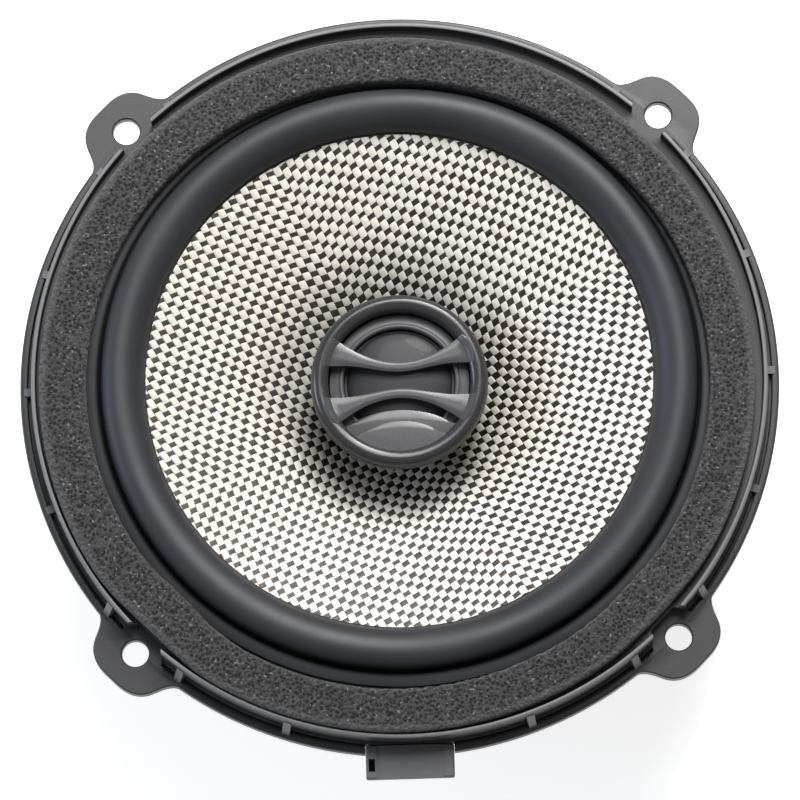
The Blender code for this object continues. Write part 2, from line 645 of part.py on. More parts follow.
def build_tweeter_motor(parts):
    """Coil, washer, magnet and yoke of the tweeter, stacked in the cup."""
    steel = paint("tweeter_steel", (0.5, 0.5, 0.52), 0.3, 1.0)
    coil_out, coil_top, coil_bottom = TWEETER_COIL_R + 0.4, DOME_FOOT_Z - 0.3, -2.6
    coil = [
        (TWEETER_COIL_R, coil_top), (coil_out, coil_top), (coil_out, coil_bottom), (TWEETER_COIL_R, coil_bottom),
    ]
    settle(turned("tweeter_voice_coil", coil, 24, parts), paint("tweeter_copper", (0.72, 0.32, 0.14), 0.3, 1.0))
    washer_r, washer_top, washer_bottom = TWEETER_COIL_R - 0.5, -0.9, -2.3
    washer = [(0, washer_top), (washer_r, washer_top), (washer_r, washer_bottom), (0, washer_bottom)]
    settle(turned("tweeter_washer", washer, 24, parts), steel)
    magnet_r, magnet_top, magnet_bottom = washer_r - 0.4, washer_bottom - GAP, -5.1
    magnet = [(0, magnet_top), (magnet_r, magnet_top), (magnet_r, magnet_bottom), (0, magnet_bottom)]
    settle(turned("tweeter_magnet", magnet, 24, parts), paint("neodymium", (0.6, 0.6, 0.62), 0.25, 1.0))
    yoke_in, yoke_out, yoke_floor = TWEETER_COIL_R + 1.2, TWEETER_COIL_R + 2.5, magnet_bottom - GAP
    yoke = [
        (0, yoke_floor), (yoke_in, yoke_floor), (yoke_in, washer_top), (yoke_out, washer_top),
        (yoke_out, yoke_floor - 1.2), (0, yoke_floor - 1.2),
    ]
    settle(turned("tweeter_yoke", yoke, 24, parts), steel)


def build_plug(parts, tools):
    """Block for the car's plug: front plate, and behind it a socket open downwards with two blades inside."""
    top = FLANGE_T + 0.2
    half = PLUG_W / 2
    plate_back = top - PLUG_PLATE_T
    block = box("connector_housing", (-half, -PLUG_OUT_R, plate_back), (half, -PLUG_IN_R, top), parts)
    bevel = block.modifiers.new("Rounded", "BEVEL")
    bevel.width = 0.5 * MM
    bevel.segments = 2
    neck_low = (0.8 - half, -PLUG_BODY_OUT_R, -1)
    neck = box("plug_neck_tool", neck_low, (half - 0.8, -PLUG_IN_R - 0.6, plate_back + 0.4), tools)
    combine(block, neck, "UNION")
    body_low = (0.4 - half, -PLUG_BODY_OUT_R - 0.1, PLUG_BOTTOM)
    body = box("plug_body_tool", body_low, (half - 0.4, -PLUG_BODY_IN_R, -GAP), tools)
    combine(block, body, "UNION")
    # The car plug's latch drops into a pocket near the plate's left edge.
    latch_in_y, latch_out_y = -PLUG_OUT_R + 5.0, -PLUG_OUT_R + 1.9
    pocket_low = (0.2 - half, latch_out_y - 0.8, -4.2)
    pocket = box("latch_pocket_tool", pocket_low, (3.0 - half, latch_in_y, plate_back + 0.4), tools)
    combine(block, pocket, "UNION")
    latch = box("latch_tool", (0.7 - half, latch_out_y, -3.2), (2.2 - half, latch_in_y, top + 1), tools)
    combine(block, latch, "DIFFERENCE")
    inner = half - PLUG_WALL
    socket_top = -GAP - PLUG_WALL
    socket_low = (-inner, PLUG_WALL - PLUG_BODY_OUT_R, PLUG_BOTTOM - 1)
    socket = box("socket_tool", socket_low, (inner, -PLUG_WALL - PLUG_BODY_IN_R, socket_top), tools)
    combine(block, socket, "DIFFERENCE")
    panel_half = half - 2.6
    panel = box("panel_tool", (-panel_half, -PLUG_OUT_R - 1, top - 0.3), (panel_half, 1 - PLUG_IN_R, top + 1), tools)
    combine(block, panel, "DIFFERENCE")
    settle(block, paint("plug_plastic", (0.06, 0.06, 0.065), 0.5))
    brass = paint("blade_brass", (0.7, 0.55, 0.25), 0.25, 1.0)
    middle_y = -(PLUG_BODY_IN_R + PLUG_BODY_OUT_R) / 2
    for side, name in ((-1, "negative"), (1, "positive")):
        x = side * BLADE_X
        low = (x - 1.4, middle_y - 0.4, PLUG_BOTTOM + 2)
        blade = box(f"connector_blade_{name}", low, (x + 1.4, middle_y + 0.4, socket_top - GAP), parts)
        settle(blade, brass)


def build_terminals(parts, tools):
    """Board on the collar below the plug, with two lugs that the wires and braided leads meet at."""
    face_y = -COLLAR_R - GAP
    top = -1.5
    bottom = COLLAR_Z - 3.0
    board = box("terminal_board", (-BOARD_W / 2, face_y - BOARD_T, bottom), (BOARD_W / 2, face_y, top), parts)
    settle(board, paint("board", (0.2, 0.12, 0.05), 0.6))
    brass = paint("lug_brass", (0.7, 0.55, 0.25), 0.3, 1.0)
    lug_y = face_y - BOARD_T - 0.1
    for side, name in ((-1, "negative"), (1, "positive")):
        x = side * TERMINAL_X
        lug = box(f"terminal_lug_{name}", (x - 2, lug_y - 0.6, bottom - 3.5), (x + 2, lug_y, top - 2), parts)
        eye = box("eye_tool", (x - 0.9, lug_y - 2, bottom - 2.6), (x + 0.9, lug_y + 1, bottom - 1.2), tools)
        combine(lug, eye, "DIFFERENCE")
        settle(lug, brass)


def build_leads(parts, red, black):
    """Braided leads from the lugs to the cone's back, and insulated wires from the plug to the lugs."""
    braid = paint("copper_braid", (0.7, 0.4, 0.2), 0.4, 1.0)
    lug_bottom = COLLAR_Z - 6.5
    lug_back = -COLLAR_R - GAP - BOARD_T + 0.7
    lead_r = 36.0
    lead_end = cone_height(lead_r) - CONE_T - 1.2
    for side, name, colour in ((-1, "negative", black), (1, "positive", red)):
        x = side * TERMINAL_X
        path = [(x, lug_back, lug_bottom + 1.0), (x, -66, -16.0), (x, -54, -18.5), (x, -44, -14.5),
                (x, -lead_r, lead_end)]
        settle(wire(f"tinsel_lead_{name}", path, 0.5, parts), braid, 60)
        path = [(side * BLADE_X, GAP - PLUG_BODY_IN_R + 0.4, -7.0), (side * 4.5, -84, -7.5), (x, -80.2, -6.5)]
        settle(wire(f"supply_wire_{name}", path, 0.8, parts), colour, 60)


def build_capacitor(parts, tools):
    """Film capacitor lying across the back of a leg; returns the ends of its two leads."""
    body_r, body_length, lead_length = 4.0, 16.0, 5.0
    angle = -math.pi / 4
    middle_r, middle_z = 62.4, -19.2
    x, y = polar(middle_r, angle)
    body = cylinders("capacitor", [(0, 0)], body_r, -body_length / 2, body_length / 2, 20, parts)
    reach = body_length / 2 + lead_length
    leads = cylinders("capacitor_lead_tool", [(0, 0)], 0.4, -reach, reach, 8, tools)
    bevel = body.modifiers.new("Rounded", "BEVEL")
    bevel.width = 0.8 * MM
    bevel.segments = 2
    combine(body, leads, "UNION")
    settle(body, paint("capacitor_film", (0.35, 0.3, 0.05), 0.35))
    body.location = Vector((x, y, middle_z)) * MM
    body.rotation_euler = (QUARTER, 0, angle)
    tangent = Vector((-math.sin(angle), math.cos(angle), 0))
    middle = Vector((x, y, middle_z))
    return middle - tangent * (reach + 0.7), middle + tangent * (reach + 0.7)


def build_tweeter_wires(parts, near_end, far_end, red, black):
    """Wires round the magnet, along the channel under it and up through the post to the tweeter."""
    channel_z = YOKE_TOP - WIRE_CHANNEL_T / 2
    lug_front = -COLLAR_R - GAP - BOARD_T - 1.9
    lug_x = TERMINAL_X + 0.5
    link = [near_end, (22, -68, -17), (11, -79.5, -15.5), (lug_x, lug_front, -12), (lug_x, lug_front, -9.5)]
    settle(wire("capacitor_wire", link, WIRE_R, parts), red, 60)
    from_capacitor = [
        far_end, (47, -28, -30), (39, -24, -42), (31, -33.5, -50), (11, -45.5, -53), (3.2, -45.5, channel_z),
    ]
    from_lug = [
        (-lug_x, lug_front, -9.5), (-lug_x, lug_front, -14), (-7, -73, -24), (-5, -57, -36), (-3.5, -48.5, -47),
        (-1.8, -46.5, channel_z + 1.6),
    ]
    cup_z = CUP_FLOOR + WIRE_R + 0.25
    runs = ((-1, "negative", from_lug, black), (1, "positive", from_capacitor, red))
    for side, name, start, colour in runs:
        x = side * (WIRE_R + 0.2)
        through = [
            (x, -43, channel_z), (x, -41, channel_z), (x, -5, channel_z), (x, -2.5, channel_z + 0.05),
            (x, -0.4, channel_z + 1.0), (x, 0, channel_z + 3), (x, 0, -46), (x, 0, CUP_FLOOR - 2.6),
            (x, 0, CUP_FLOOR - 1.5), (side * 3.2, 0, cup_z), (side * 9, 0, cup_z), (side * 12.4, 0, cup_z),
            (side * 13.6, 0, -6.3), (side * 13.7, 0, -1.2),
        ]
        settle(wire(f"tweeter_wire_{name}", start + through, WIRE_R, parts), colour, 60)


def main():
    clear_scene()
    parts = new_collection("coaxial_car_speaker")
    tools = new_collection("cutters")
    build_basket(parts, tools)
    build_foam_gasket(parts)
    build_surround(parts)
    build_cone(parts)
    build_voice_coil(parts)
    build_spider(parts)
    build_motor(parts, tools)
    build_basket_screws(parts, tools)
    build_post(parts)
    build_tweeter_cup(parts)
    build_tweeter_grille(parts, tools)
    build_face_ring(parts)
    build_tweeter_dome(parts)
    build_tweeter_motor(parts)
    build_plug(parts, tools)
    build_terminals(parts, tools)
    red = paint("red_insulation", (0.5, 0.03, 0.03), 0.45)
    black = paint("black_insulation", (0.03, 0.03, 0.03), 0.45)
    build_leads(parts, red, black)
    near_end, far_end = build_capacitor(parts, tools)
    build_tweeter_wires(parts, near_end, far_end, red, black)
    for obj in parts.objects:
        obj.location.z -= YOKE_BOTTOM * MM


main()
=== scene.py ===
"""Looks of the coaxial car speaker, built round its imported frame.

Lengths are millimetres until MM turns them into metres. Radii are measured from the speaker's axis, Z.
Heights are counted from the back of the mounting flange, which is FLANGE_BACK above the floor that the magnet
stands on.
"""

import math

import bmesh
import bpy
import numpy as np
from mathutils import Matrix, Vector


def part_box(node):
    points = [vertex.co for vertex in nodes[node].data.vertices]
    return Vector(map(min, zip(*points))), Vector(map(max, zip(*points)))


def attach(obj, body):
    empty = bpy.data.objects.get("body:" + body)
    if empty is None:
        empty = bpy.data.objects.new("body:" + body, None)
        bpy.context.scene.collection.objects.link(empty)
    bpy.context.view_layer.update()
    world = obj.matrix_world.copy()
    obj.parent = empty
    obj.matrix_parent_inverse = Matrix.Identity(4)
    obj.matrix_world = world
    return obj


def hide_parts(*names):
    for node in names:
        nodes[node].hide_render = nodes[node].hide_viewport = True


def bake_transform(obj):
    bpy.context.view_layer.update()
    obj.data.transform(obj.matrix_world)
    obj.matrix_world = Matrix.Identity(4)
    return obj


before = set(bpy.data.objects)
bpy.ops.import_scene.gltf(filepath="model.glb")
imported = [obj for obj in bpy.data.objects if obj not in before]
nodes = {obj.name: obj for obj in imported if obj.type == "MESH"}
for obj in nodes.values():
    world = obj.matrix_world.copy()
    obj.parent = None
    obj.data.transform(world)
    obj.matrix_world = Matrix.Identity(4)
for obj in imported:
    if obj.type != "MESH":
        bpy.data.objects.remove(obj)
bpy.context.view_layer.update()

MM = 0.001
QUARTER = math.pi / 2


def high(node):
    """Highest corner of a CAD node's box, in millimetres."""
    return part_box(node)[1] / MM


def low(node):
    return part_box(node)[0] / MM


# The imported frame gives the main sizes.
GAP = 0.3
CONE_EDGE_Z = 5.9
FLANGE_BACK = high("cone").z - CONE_EDGE_Z
RING_R = high("basket").x
CONE_R = high("cone").x
CONE_T = 0.5
NECK_R = high("voice_coil_former").x + GAP
SLOPE_AT_EDGE = 0.364
SLOPE_AT_NECK = 0.577
FOAM_R = high("foam_gasket").x
FOAM_W = 10.3
FOAM_TOP = high("foam_gasket").z - FLANGE_BACK
FOAM_BOTTOM = low("foam_gasket").z - FLANGE_BACK
SURROUND_R = high("surround").x
SPIDER_R = high("spider").x
GRILLE_R = high("tweeter_grille").x
PLUG_HALF_W = high("connector_housing").x
PLUG_BACK_Y = low("connector_housing").y + 8.6  # inner end of the notch for the plug's front plate
PLUG_SLIT = 0.08

# Frame moulding.
FLANGE_T = 3.0
SEAT_Z = FOAM_BOTTOM - GAP
SEAT_IN_R = 71.0
SEAT_T = 2.8
RIM_IN_R = FOAM_R + 1.2
RIM_OUT_R = RIM_IN_R + 1.0
RIM_Z = SEAT_Z + 3.1
LEDGE_R = RIM_OUT_R + 0.6
LEDGE_Z = 2.6
CHANNEL_R = LEDGE_R + 0.7
CHANNEL_FLOOR = 0.9
COLLAR_R = 76.0
COLLAR_Z = -6.0
WALL_T = 2.5
LEG_FOOT_R = 44.0
LEG_FOOT_Z = -25.0
SPIDER_Z = -22.0
SPIDER_LEDGE_Z = SPIDER_Z - 0.6
REAR_PLATE_TOP = -29.2
REAR_PLATE_BACK = REAR_PLATE_TOP - 2.5
REAR_BORE_R = 20.0
PLATE_BORE_R = 14.3
WINDOW_HALF_ANGLE = math.radians(31)
LUG_ANGLES = [QUARTER * (i + 0.5) for i in range(4)]
LUG_R = 131 / math.sqrt(2)
LUG_HOLE_R = 3.25
LUG_TIP_R = 101.1
LUG_TIP_HALF_W = 7.8
LUG_SHOULDER = 6.0
LUG_BASE_HALF_W = 11.7
LUG_FILLET = 4.0
LUG_PAD_ANGLE = math.radians(7.5)
NOTCH_IN_R = 86.9  # flat notches in the wall behind the lugs
NOTCH_FLOOR_IN_R = 85.4
NOTCH_IN_HALF_W = 3.8
NOTCH_OUT_HALF_W = 7.0
SCREW_CIRCLE_R = 33.0
SCREW_HOLE_R = 2.05
RIB_ANGLES = [math.radians(a) for a in (0, 19, 161, 180, 199, 251, 289, 341)]
RIB_ANGLES += [angle + side * LUG_PAD_ANGLE for angle in LUG_ANGLES for side in (-1, 1)]
RIB_W = 1.9
RIB_REACH_R = 91.5

# Rubber half-roll.
ROLL_IN_R = CONE_R + 0.2
ROLL_OUT_R = 72.8
ROLL_HEIGHT = 5.2
RUBBER_T = 0.6

# Cloth of the cone: yarn pitch, direction of the light yarns, and how the flat cloth shears over the cone.
PITCH = 1.85
YARN_ANGLE = math.radians(28)
CLOTH_SHEAR = 0.86
CLOTH_DRAW = 0.906
STATIONS = (0.0, 0.28, 0.42, 0.5, 0.58, 0.72)

# Tweeter.
OPENING_R = 17.4
CREST_R = 19.6
CREST_Z = 5.4
RIM_FALL = 1.5  # from the rim's crest to the edge of its opening
CUP_TOP = 2.6
CUP_FLOOR = -8.4
CUP_R = high("tweeter_cup").x
BAR_TOP = 4.65
DOME_R = 12.9
DOME_FOOT_R = 13.4
DOME_FOOT_Z = 0.2
DOME_HEIGHT = 2.2


# ---------------------------------------------------------------- materials


class Look:
    """A material's shader and the nodes that feed it. Texture scales are features per metre."""

    def __init__(self, name, roughness=0.5, metallic=0.0, coat=0.0):
        self.material = bpy.data.materials.new(name)
        self.material.use_nodes = True
        self.tree = self.material.node_tree
        self.shader = self.tree.nodes["Principled BSDF"]
        self.shader.inputs["Roughness"].default_value = roughness
        self.shader.inputs["Metallic"].default_value = metallic
        self.shader.inputs["Coat Weight"].default_value = coat
        self.place = self.node("ShaderNodeTexCoord").outputs["Object"]

    def node(self, kind, settings=None, **inputs):
        made = self.tree.nodes.new(kind)
        for key, value in (settings or {}).items():
            setattr(made, key, value)
        for key, value in inputs.items():
            self.feed(made.inputs[key.replace("_", " ")], value)
        return made

    def feed(self, target, value):
        if isinstance(value, bpy.types.NodeSocket):
            self.tree.links.new(value, target)
        else:
            target.default_value = value

    def noise(self, scale, detail=3.0, roughness=0.55, place=None):
        made = self.node(
            "ShaderNodeTexNoise", Vector=place or self.place, Scale=scale, Detail=detail, Roughness=roughness
        )
        return made.outputs["Fac"]

    def cells(self, scale):
        """Distance to the nearest of scattered points: 0 in a cell's middle."""
        return self.node("ShaderNodeTexVoronoi", Vector=self.place, Scale=scale).outputs["Distance"]

    def waves(self, turn, scale, **more):
        """Straight soft bands, turned by the given rotation."""
        place = self.node("ShaderNodeMapping", Vector=self.place, Rotation=turn).outputs["Vector"]
        return self.node("ShaderNodeTexWave", Vector=place, Scale=scale, **more).outputs["Fac"]

    def uv(self, factors):
        source = self.node("ShaderNodeUVMap", {"uv_map": "cloth"}).outputs["UV"]
        return self.node("ShaderNodeMapping", Vector=source, Scale=factors).outputs["Vector"]

    def attribute(self, name):
        return self.node("ShaderNodeAttribute", {"attribute_name": name}).outputs["Fac"]

    def math(self, operation, first, second=0.0):
        made = self.node("ShaderNodeMath", {"operation": operation})
        self.feed(made.inputs[0], first)
        self.feed(made.inputs[1], second)
        return made.outputs[0]

    def spread(self, value, low_in, high_in, low_out, high_out):
        made = self.node("ShaderNodeMapRange", Value=value)
        ends = {"From Min": low_in, "From Max": high_in, "To Min": low_out, "To Max": high_out}
        for name, number in ends.items():
            made.inputs[name].default_value = number
        return made.outputs["Result"]

    def shades(self, value, *stops):
        """Colour ramp over (place, (red, green, blue)) stops."""
        ramp = self.node("ShaderNodeValToRGB", Fac=value)
        elements = ramp.color_ramp.elements
        elements[0].position, elements[1].position = stops[0][0], stops[-1][0]
        elements[0].color, elements[1].color = (*stops[0][1], 1), (*stops[-1][1], 1)
        for position, colour in stops[1:-1]:
            elements.new(position).color = (*colour, 1)
        return ramp.outputs["Color"]

    def multiply(self, colour, factor):
        """Colour times a grey factor."""
        made = self.node("ShaderNodeMix", {"data_type": "RGBA", "blend_type": "MULTIPLY"})
        made.inputs["Factor"].default_value = 1.0
        self.feed(made.inputs[6], colour)
        self.feed(made.inputs[7], factor)
        return made.outputs[2]

    def blend(self, factor, first, second):
        made = self.node("ShaderNodeMix", {"data_type": "RGBA"})
        self.feed(made.inputs["Factor"], factor)
        self.feed(made.inputs[6], first)
        self.feed(made.inputs[7], second)
        return made.outputs[2]

    def colour(self, value):
        self.feed(self.shader.inputs["Base Color"], (*value, 1) if isinstance(value, tuple) else value)

    def rough(self, value):
        self.feed(self.shader.inputs["Roughness"], value)

    def bump(self, height, depth, strength=1.0):
        """Adds relief; depth is in millimetres. Later calls lie on top of earlier ones."""
        target = self.shader.inputs["Normal"]
        made = self.node("ShaderNodeBump", Height=height, Distance=depth * MM, Strength=strength)
        if target.is_linked:
            self.tree.links.new(target.links[0].from_socket, made.inputs["Normal"])
        self.tree.links.new(made.outputs["Normal"], target)


def grey(value, tint=(1.0, 1.0, 1.0)):
    return tuple(value * t for t in tint)


def moulded_plastic(name, shade, roughness, grain=0.03, tint=(1.0, 1.0, 1.04), painted_highlight_z=None):
    """Injection-moulded plastic: fine spark-erosion grain, faint flow clouds, scuffs that change the gloss.

    Above the given height the plastic is painted pale as a highlight, used for the top edge of the frame's
    rim.
    """
    look = Look(name, roughness)
    clouds = look.noise(60, 4)
    colour = look.shades(clouds, (0.3, grey(shade * 0.94, tint)), (0.7, grey(shade * 1.06, tint)))
    # Painted highlight: plastic above the given height is blended towards pale grey.
    if painted_highlight_z:
        height = look.node("ShaderNodeSeparateXYZ", Vector=look.place).outputs["Z"]
        painted_highlight_and_fibre_mottle = look.spread(height, (painted_highlight_z + FLANGE_BACK) * MM, (painted_highlight_z + 0.3 + FLANGE_BACK) * MM, 0.0, 0.8)
        colour = look.blend(painted_highlight_and_fibre_mottle, colour, (0.22, 0.22, 0.22, 1))
    look.colour(colour)
    scuffs = look.noise(240, 3)
    look.rough(look.spread(scuffs, 0.3, 0.75, roughness - 0.03, roughness + 0.05))
    look.bump(look.noise(3200, 2), grain)
    return look.material


def foam_look():
    """Open-cell foam: dark pits, cell walls, and a few bright cut struts."""
    look = Look("foam", 0.92)
    pits = look.cells(1050)
    fibres = look.noise(1600, 4, 0.75)
    sparks = look.noise(1500, 1, 0.2)
    walls = grey(0.018, (1.0, 0.93, 0.96))
    struts = grey(0.064, (1.0, 0.95, 0.96))
    base = look.shades(pits, (0.08, grey(0.003)), (0.3, walls), (0.6, struts))
    painted_highlight_and_fibre_mottle = look.multiply(base, look.shades(fibres, (0.32, grey(0.3)), (0.7, grey(1.6))))
    spark_shade = look.shades(sparks, (0.68, (0, 0, 0)), (0.78, (0.85, 0.85, 0.85)))
    sparkled = look.blend(spark_shade, painted_highlight_and_fibre_mottle, (0.24, 0.23, 0.22, 1))
    pressed = look.shades(fibres, (0.2, grey(0.05)), (0.8, grey(0.13, (1.0, 0.98, 0.96))))
    look.colour(look.blend(look.math("MULTIPLY", look.attribute("skin"), 0.85), sparkled, pressed))
    look.shader.inputs["Sheen Weight"].default_value = 0.15
    look.bump(pits, 0.5)
    look.bump(fibres, 0.25)
    return look.material


def rubber_look():
    """Satin rubber with moulding haze, dust and light specks; around the crease at the roll's foot its colour
    and its reflection are painted dark as shade.
    """
    look = Look("rubber", 0.42)
    haze = look.noise(45, 5)
    dust = look.noise(2600, 2)
    base = look.shades(haze, (0.3, grey(0.024, (0.94, 1, 1.16))), (0.7, grey(0.033, (0.95, 1, 1.12))))
    speck = look.shades(dust, (0.74, (0, 0, 0)), (0.8, (1, 1, 1)))
    flat_place = look.node("ShaderNodeVectorMath", {"operation": "MULTIPLY"})
    look.feed(flat_place.inputs[0], look.place)
    flat_place.inputs[1].default_value = (1, 1, 0)
    radius = look.node("ShaderNodeVectorMath", {"operation": "LENGTH"})
    look.feed(radius.inputs[0], flat_place.outputs["Vector"])
    # Painted shade: within about a millimetre of the crease at the roll's foot the colour and the specular
    # reflection are darkened.
    crease = (ROLL_OUT_R + 0.3) * MM
    from_crease = look.math("ABSOLUTE", look.math("SUBTRACT", radius.outputs["Value"], crease))
    painted_crease_shade = look.spread(from_crease, 0.3 * MM, 1.3 * MM, 0.12, 1.0)
    look.colour(look.multiply(look.blend(speck, base, (0.09, 0.09, 0.09, 1)), painted_crease_shade))
    look.feed(look.shader.inputs["Specular IOR Level"], look.math("MULTIPLY", painted_crease_shade, 0.5))
    look.rough(look.spread(haze, 0.3, 0.7, 0.46, 0.56))
    look.bump(look.noise(1800, 2), 0.012)
    return look.material


def yarn_look(name, dark, light, roughness):
    """Flat yarn of many filaments: streaks along it, a tone per float with painted shade near the tweeter,
    sheen across it.
    """
    look = Look(name, roughness)
    streaks = look.noise(3.0, 3, 0.6, look.uv((0.35, 5.0, 1.0)))
    shade = look.shades(streaks, (0.3, dark), (0.62, light))
    look.colour(look.multiply(shade, look.attribute("tone")))
    look.rough(look.spread(streaks, 0.3, 0.7, roughness + 0.1, roughness - 0.05))
    look.bump(streaks, 0.05, 0.7)
    look.shader.inputs["Anisotropic"].default_value = 0.6
    tangent = look.node("ShaderNodeTangent", {"direction_type": "UV_MAP", "uv_map": "cloth"})
    look.tree.links.new(tangent.outputs["Tangent"], look.shader.inputs["Tangent"])
    return look.material


def cloth_back_look():
    """Resin between the yarns; the plain weave shows through it on the back."""
    look = Look("cone_resin", 0.38)
    scale = math.pi / PITCH / MM / 20
    turns = (YARN_ANGLE, YARN_ANGLE + QUARTER)
    threads = [look.math("SUBTRACT", look.waves((0, 0, -turn), scale), 0.5) for turn in turns]
    weave = look.math("MULTIPLY", *threads)
    relief = look.spread(weave, -0.25, 0.25, 0.0, 1.0)
    look.colour(look.shades(relief, (0.2, (0.012, 0.010, 0.009)), (0.8, (0.035, 0.028, 0.025))))
    look.bump(relief, 0.25)
    look.bump(look.noise(1500, 3), 0.03)
    return look.material


def pressed_cloth_look():
    """Resin-stiffened cotton of the spider: coarse open weave, amber."""
    look = Look("spider_cloth", 0.85)
    threads = [look.waves((0, 0, turn), 260.0, Distortion=0.4) for turn in (0.0, QUARTER)]
    weave = look.math("MAXIMUM", *threads)
    look.colour(look.shades(weave, (0.25, (0.20, 0.11, 0.03)), (0.9, (0.62, 0.42, 0.15))))
    look.bump(weave, 0.2)
    look.bump(look.noise(3000, 3), 0.05)
    return look.material


def metal_look(name, colour, roughness):
    """Plated or bare metal with fine machining grain and dull patches."""
    look = Look(name, roughness, 1.0)
    patches = look.noise(55, 5)
    darker = tuple(c * 0.6 for c in colour)
    look.colour(look.shades(patches, (0.3, darker), (0.62, colour)))
    look.rough(look.spread(patches, 0.3, 0.7, roughness + 0.15, roughness))
    look.bump(look.noise(2500, 2), 0.02)
    return look.material


def turned_metal_look(name, colour, roughness):
    """Plated steel with the fine rings that turning leaves round the axis."""
    look = Look(name, roughness, 1.0)
    rings = look.node(
        "ShaderNodeTexWave", {"wave_type": "RINGS", "rings_direction": "Z"}, Vector=look.place, Scale=420.0,
        Distortion=0.6, Detail=2.0,
    ).outputs["Fac"]
    patches = look.noise(40, 5)
    look.colour(look.shades(patches, (0.3, tuple(c * 0.7 for c in colour)), (0.65, colour)))
    look.rough(look.spread(patches, 0.3, 0.7, roughness + 0.15, roughness))
    look.bump(rings, 0.012)
    return look.material


def ferrite_look():
    look = Look("ferrite", 0.62)
    grain = look.noise(1400, 5, 0.7)
    look.colour(look.shades(grain, (0.3, grey(0.02)), (0.55, grey(0.04)), (0.75, grey(0.075))))
    look.bump(grain, 0.08)
    look.bump(look.noise(90, 4), 0.3)
    return look.material


def insulation_look(name, colour):
    """Wire insulation: soft plastic with faint print-free drawing lines."""
    look = Look(name, 0.4)
    mottle = look.noise(400, 3)
    darker = tuple(c * 0.75 for c in colour)
    look.colour(look.shades(mottle, (0.3, darker), (0.7, colour)))
    look.rough(look.spread(mottle, 0.3, 0.7, 0.35, 0.5))
    look.bump(look.noise(1800, 2), 0.02)
    return look.material


def braid_look():
    """Copper strands plaited round a core."""
    look = Look("copper_braid", 0.35, 1.0)
    bands = [look.waves((0.7 * slant, 0.6, 0.8), 420.0) for slant in (1.0, -1.0)]
    strands = look.math("MAXIMUM", *bands)
    look.colour(look.shades(strands, (0.3, (0.20, 0.08, 0.03)), (0.9, (0.85, 0.46, 0.24))))
    look.bump(strands, 0.12)
    return look.material


def winding_look(name):
    """Enamelled copper wire wound round the axis."""
    look = Look(name, 0.28, 1.0, coat=0.6)
    turns = look.node(
        "ShaderNodeTexWave", {"bands_direction": "Z"}, Vector=look.place, Scale=math.pi / 0.25 / MM / 20
    ).outputs["Fac"]
    look.colour(look.shades(turns, (0.1, (0.25, 0.07, 0.02)), (0.7, (0.78, 0.33, 0.13))))
    look.bump(turns, 0.1)
    return look.material


def silk_look():
    """Coated silk: tight weave under a dark damping film."""
    look = Look("dome_silk", 0.5, coat=0.06)
    threads = [look.waves((0, 0, turn), 900.0) for turn in (0.4, 0.4 + QUARTER)]
    weave = look.math("MAXIMUM", *threads)
    look.colour(look.shades(weave, (0.3, (0.007, 0.007, 0.009)), (0.9, (0.014, 0.014, 0.019))))
    look.bump(weave, 0.03)
    return look.material


def film_look(name, dark, light, roughness=0.3):
    """Glossy film or board with soft mottling."""
    look = Look(name, roughness, coat=0.4)
    mottle = look.noise(120, 4)
    look.colour(look.shades(mottle, (0.3, dark), (0.7, light)))
    look.rough(look.spread(mottle, 0.3, 0.7, roughness + 0.12, roughness))
    look.bump(look.noise(1500, 3), 0.02)
    return look.material


# ---------------------------------------------------------------- mesh helpers


def placed(name, data):
    """New object in the scene with the given mesh, curve, light or camera."""
    obj = bpy.data.objects.new(name, data)
    bpy.context.scene.collection.objects.link(obj)
    return obj


def new_piece(name, verts, faces, material, smooth_angle=40):
    """Mesh piece from points in millimetres, with heights counted from the flange's back."""
    mesh = bpy.data.meshes.new(name)
    points = (np.asarray(verts, float).reshape(-1, 3) + (0, 0, FLANGE_BACK)) * MM
    mesh.from_pydata(points.tolist(), [], faces)
    mesh.materials.append(material)
    mesh.shade_smooth()
    mesh.set_sharp_from_angle(angle=math.radians(smooth_angle))
    return placed(name, mesh)


def grid_faces(rows, columns, wrap_rows=False, wrap_columns=False):
    """Quads over a grid of points stored row by row."""
    faces = []
    for i in range(rows if wrap_rows else rows - 1):
        here, after = i * columns, (i + 1) % rows * columns
        for j in range(columns if wrap_columns else columns - 1):
            k = (j + 1) % columns
            faces.append((here + j, after + j, after + k, here + k))
    return faces


def tidy_mesh(obj):
    """Welds doubled points, drops flat faces and turns every face outwards."""
    mesh = bmesh.new()
    mesh.from_mesh(obj.data)
    bmesh.ops.remove_doubles(mesh, verts=mesh.verts, dist=1e-7)
    bmesh.ops.dissolve_degenerate(mesh, edges=mesh.edges, dist=1e-7)
    bmesh.ops.recalc_face_normals(mesh, faces=mesh.faces)
    mesh.to_mesh(obj.data)
    mesh.free()
    return obj


def lathe(name, profile, segments, material, smooth_angle=40):
    """Solid turned about Z from (radius, height) points that go once round its section."""
    profile = np.array(profile, float)
    angles = np.arange(segments) * 2 * math.pi / segments
    points = np.stack([
        np.outer(np.cos(angles), profile[:, 0]),
        np.outer(np.sin(angles), profile[:, 0]),
        np.tile(profile[:, 1], (segments, 1)),
    ], axis=-1)
    closed = profile[0, 0] > 0
    faces = grid_faces(segments, len(profile), True, closed)
    return tidy_mesh(new_piece(name, points, faces, material, smooth_angle))


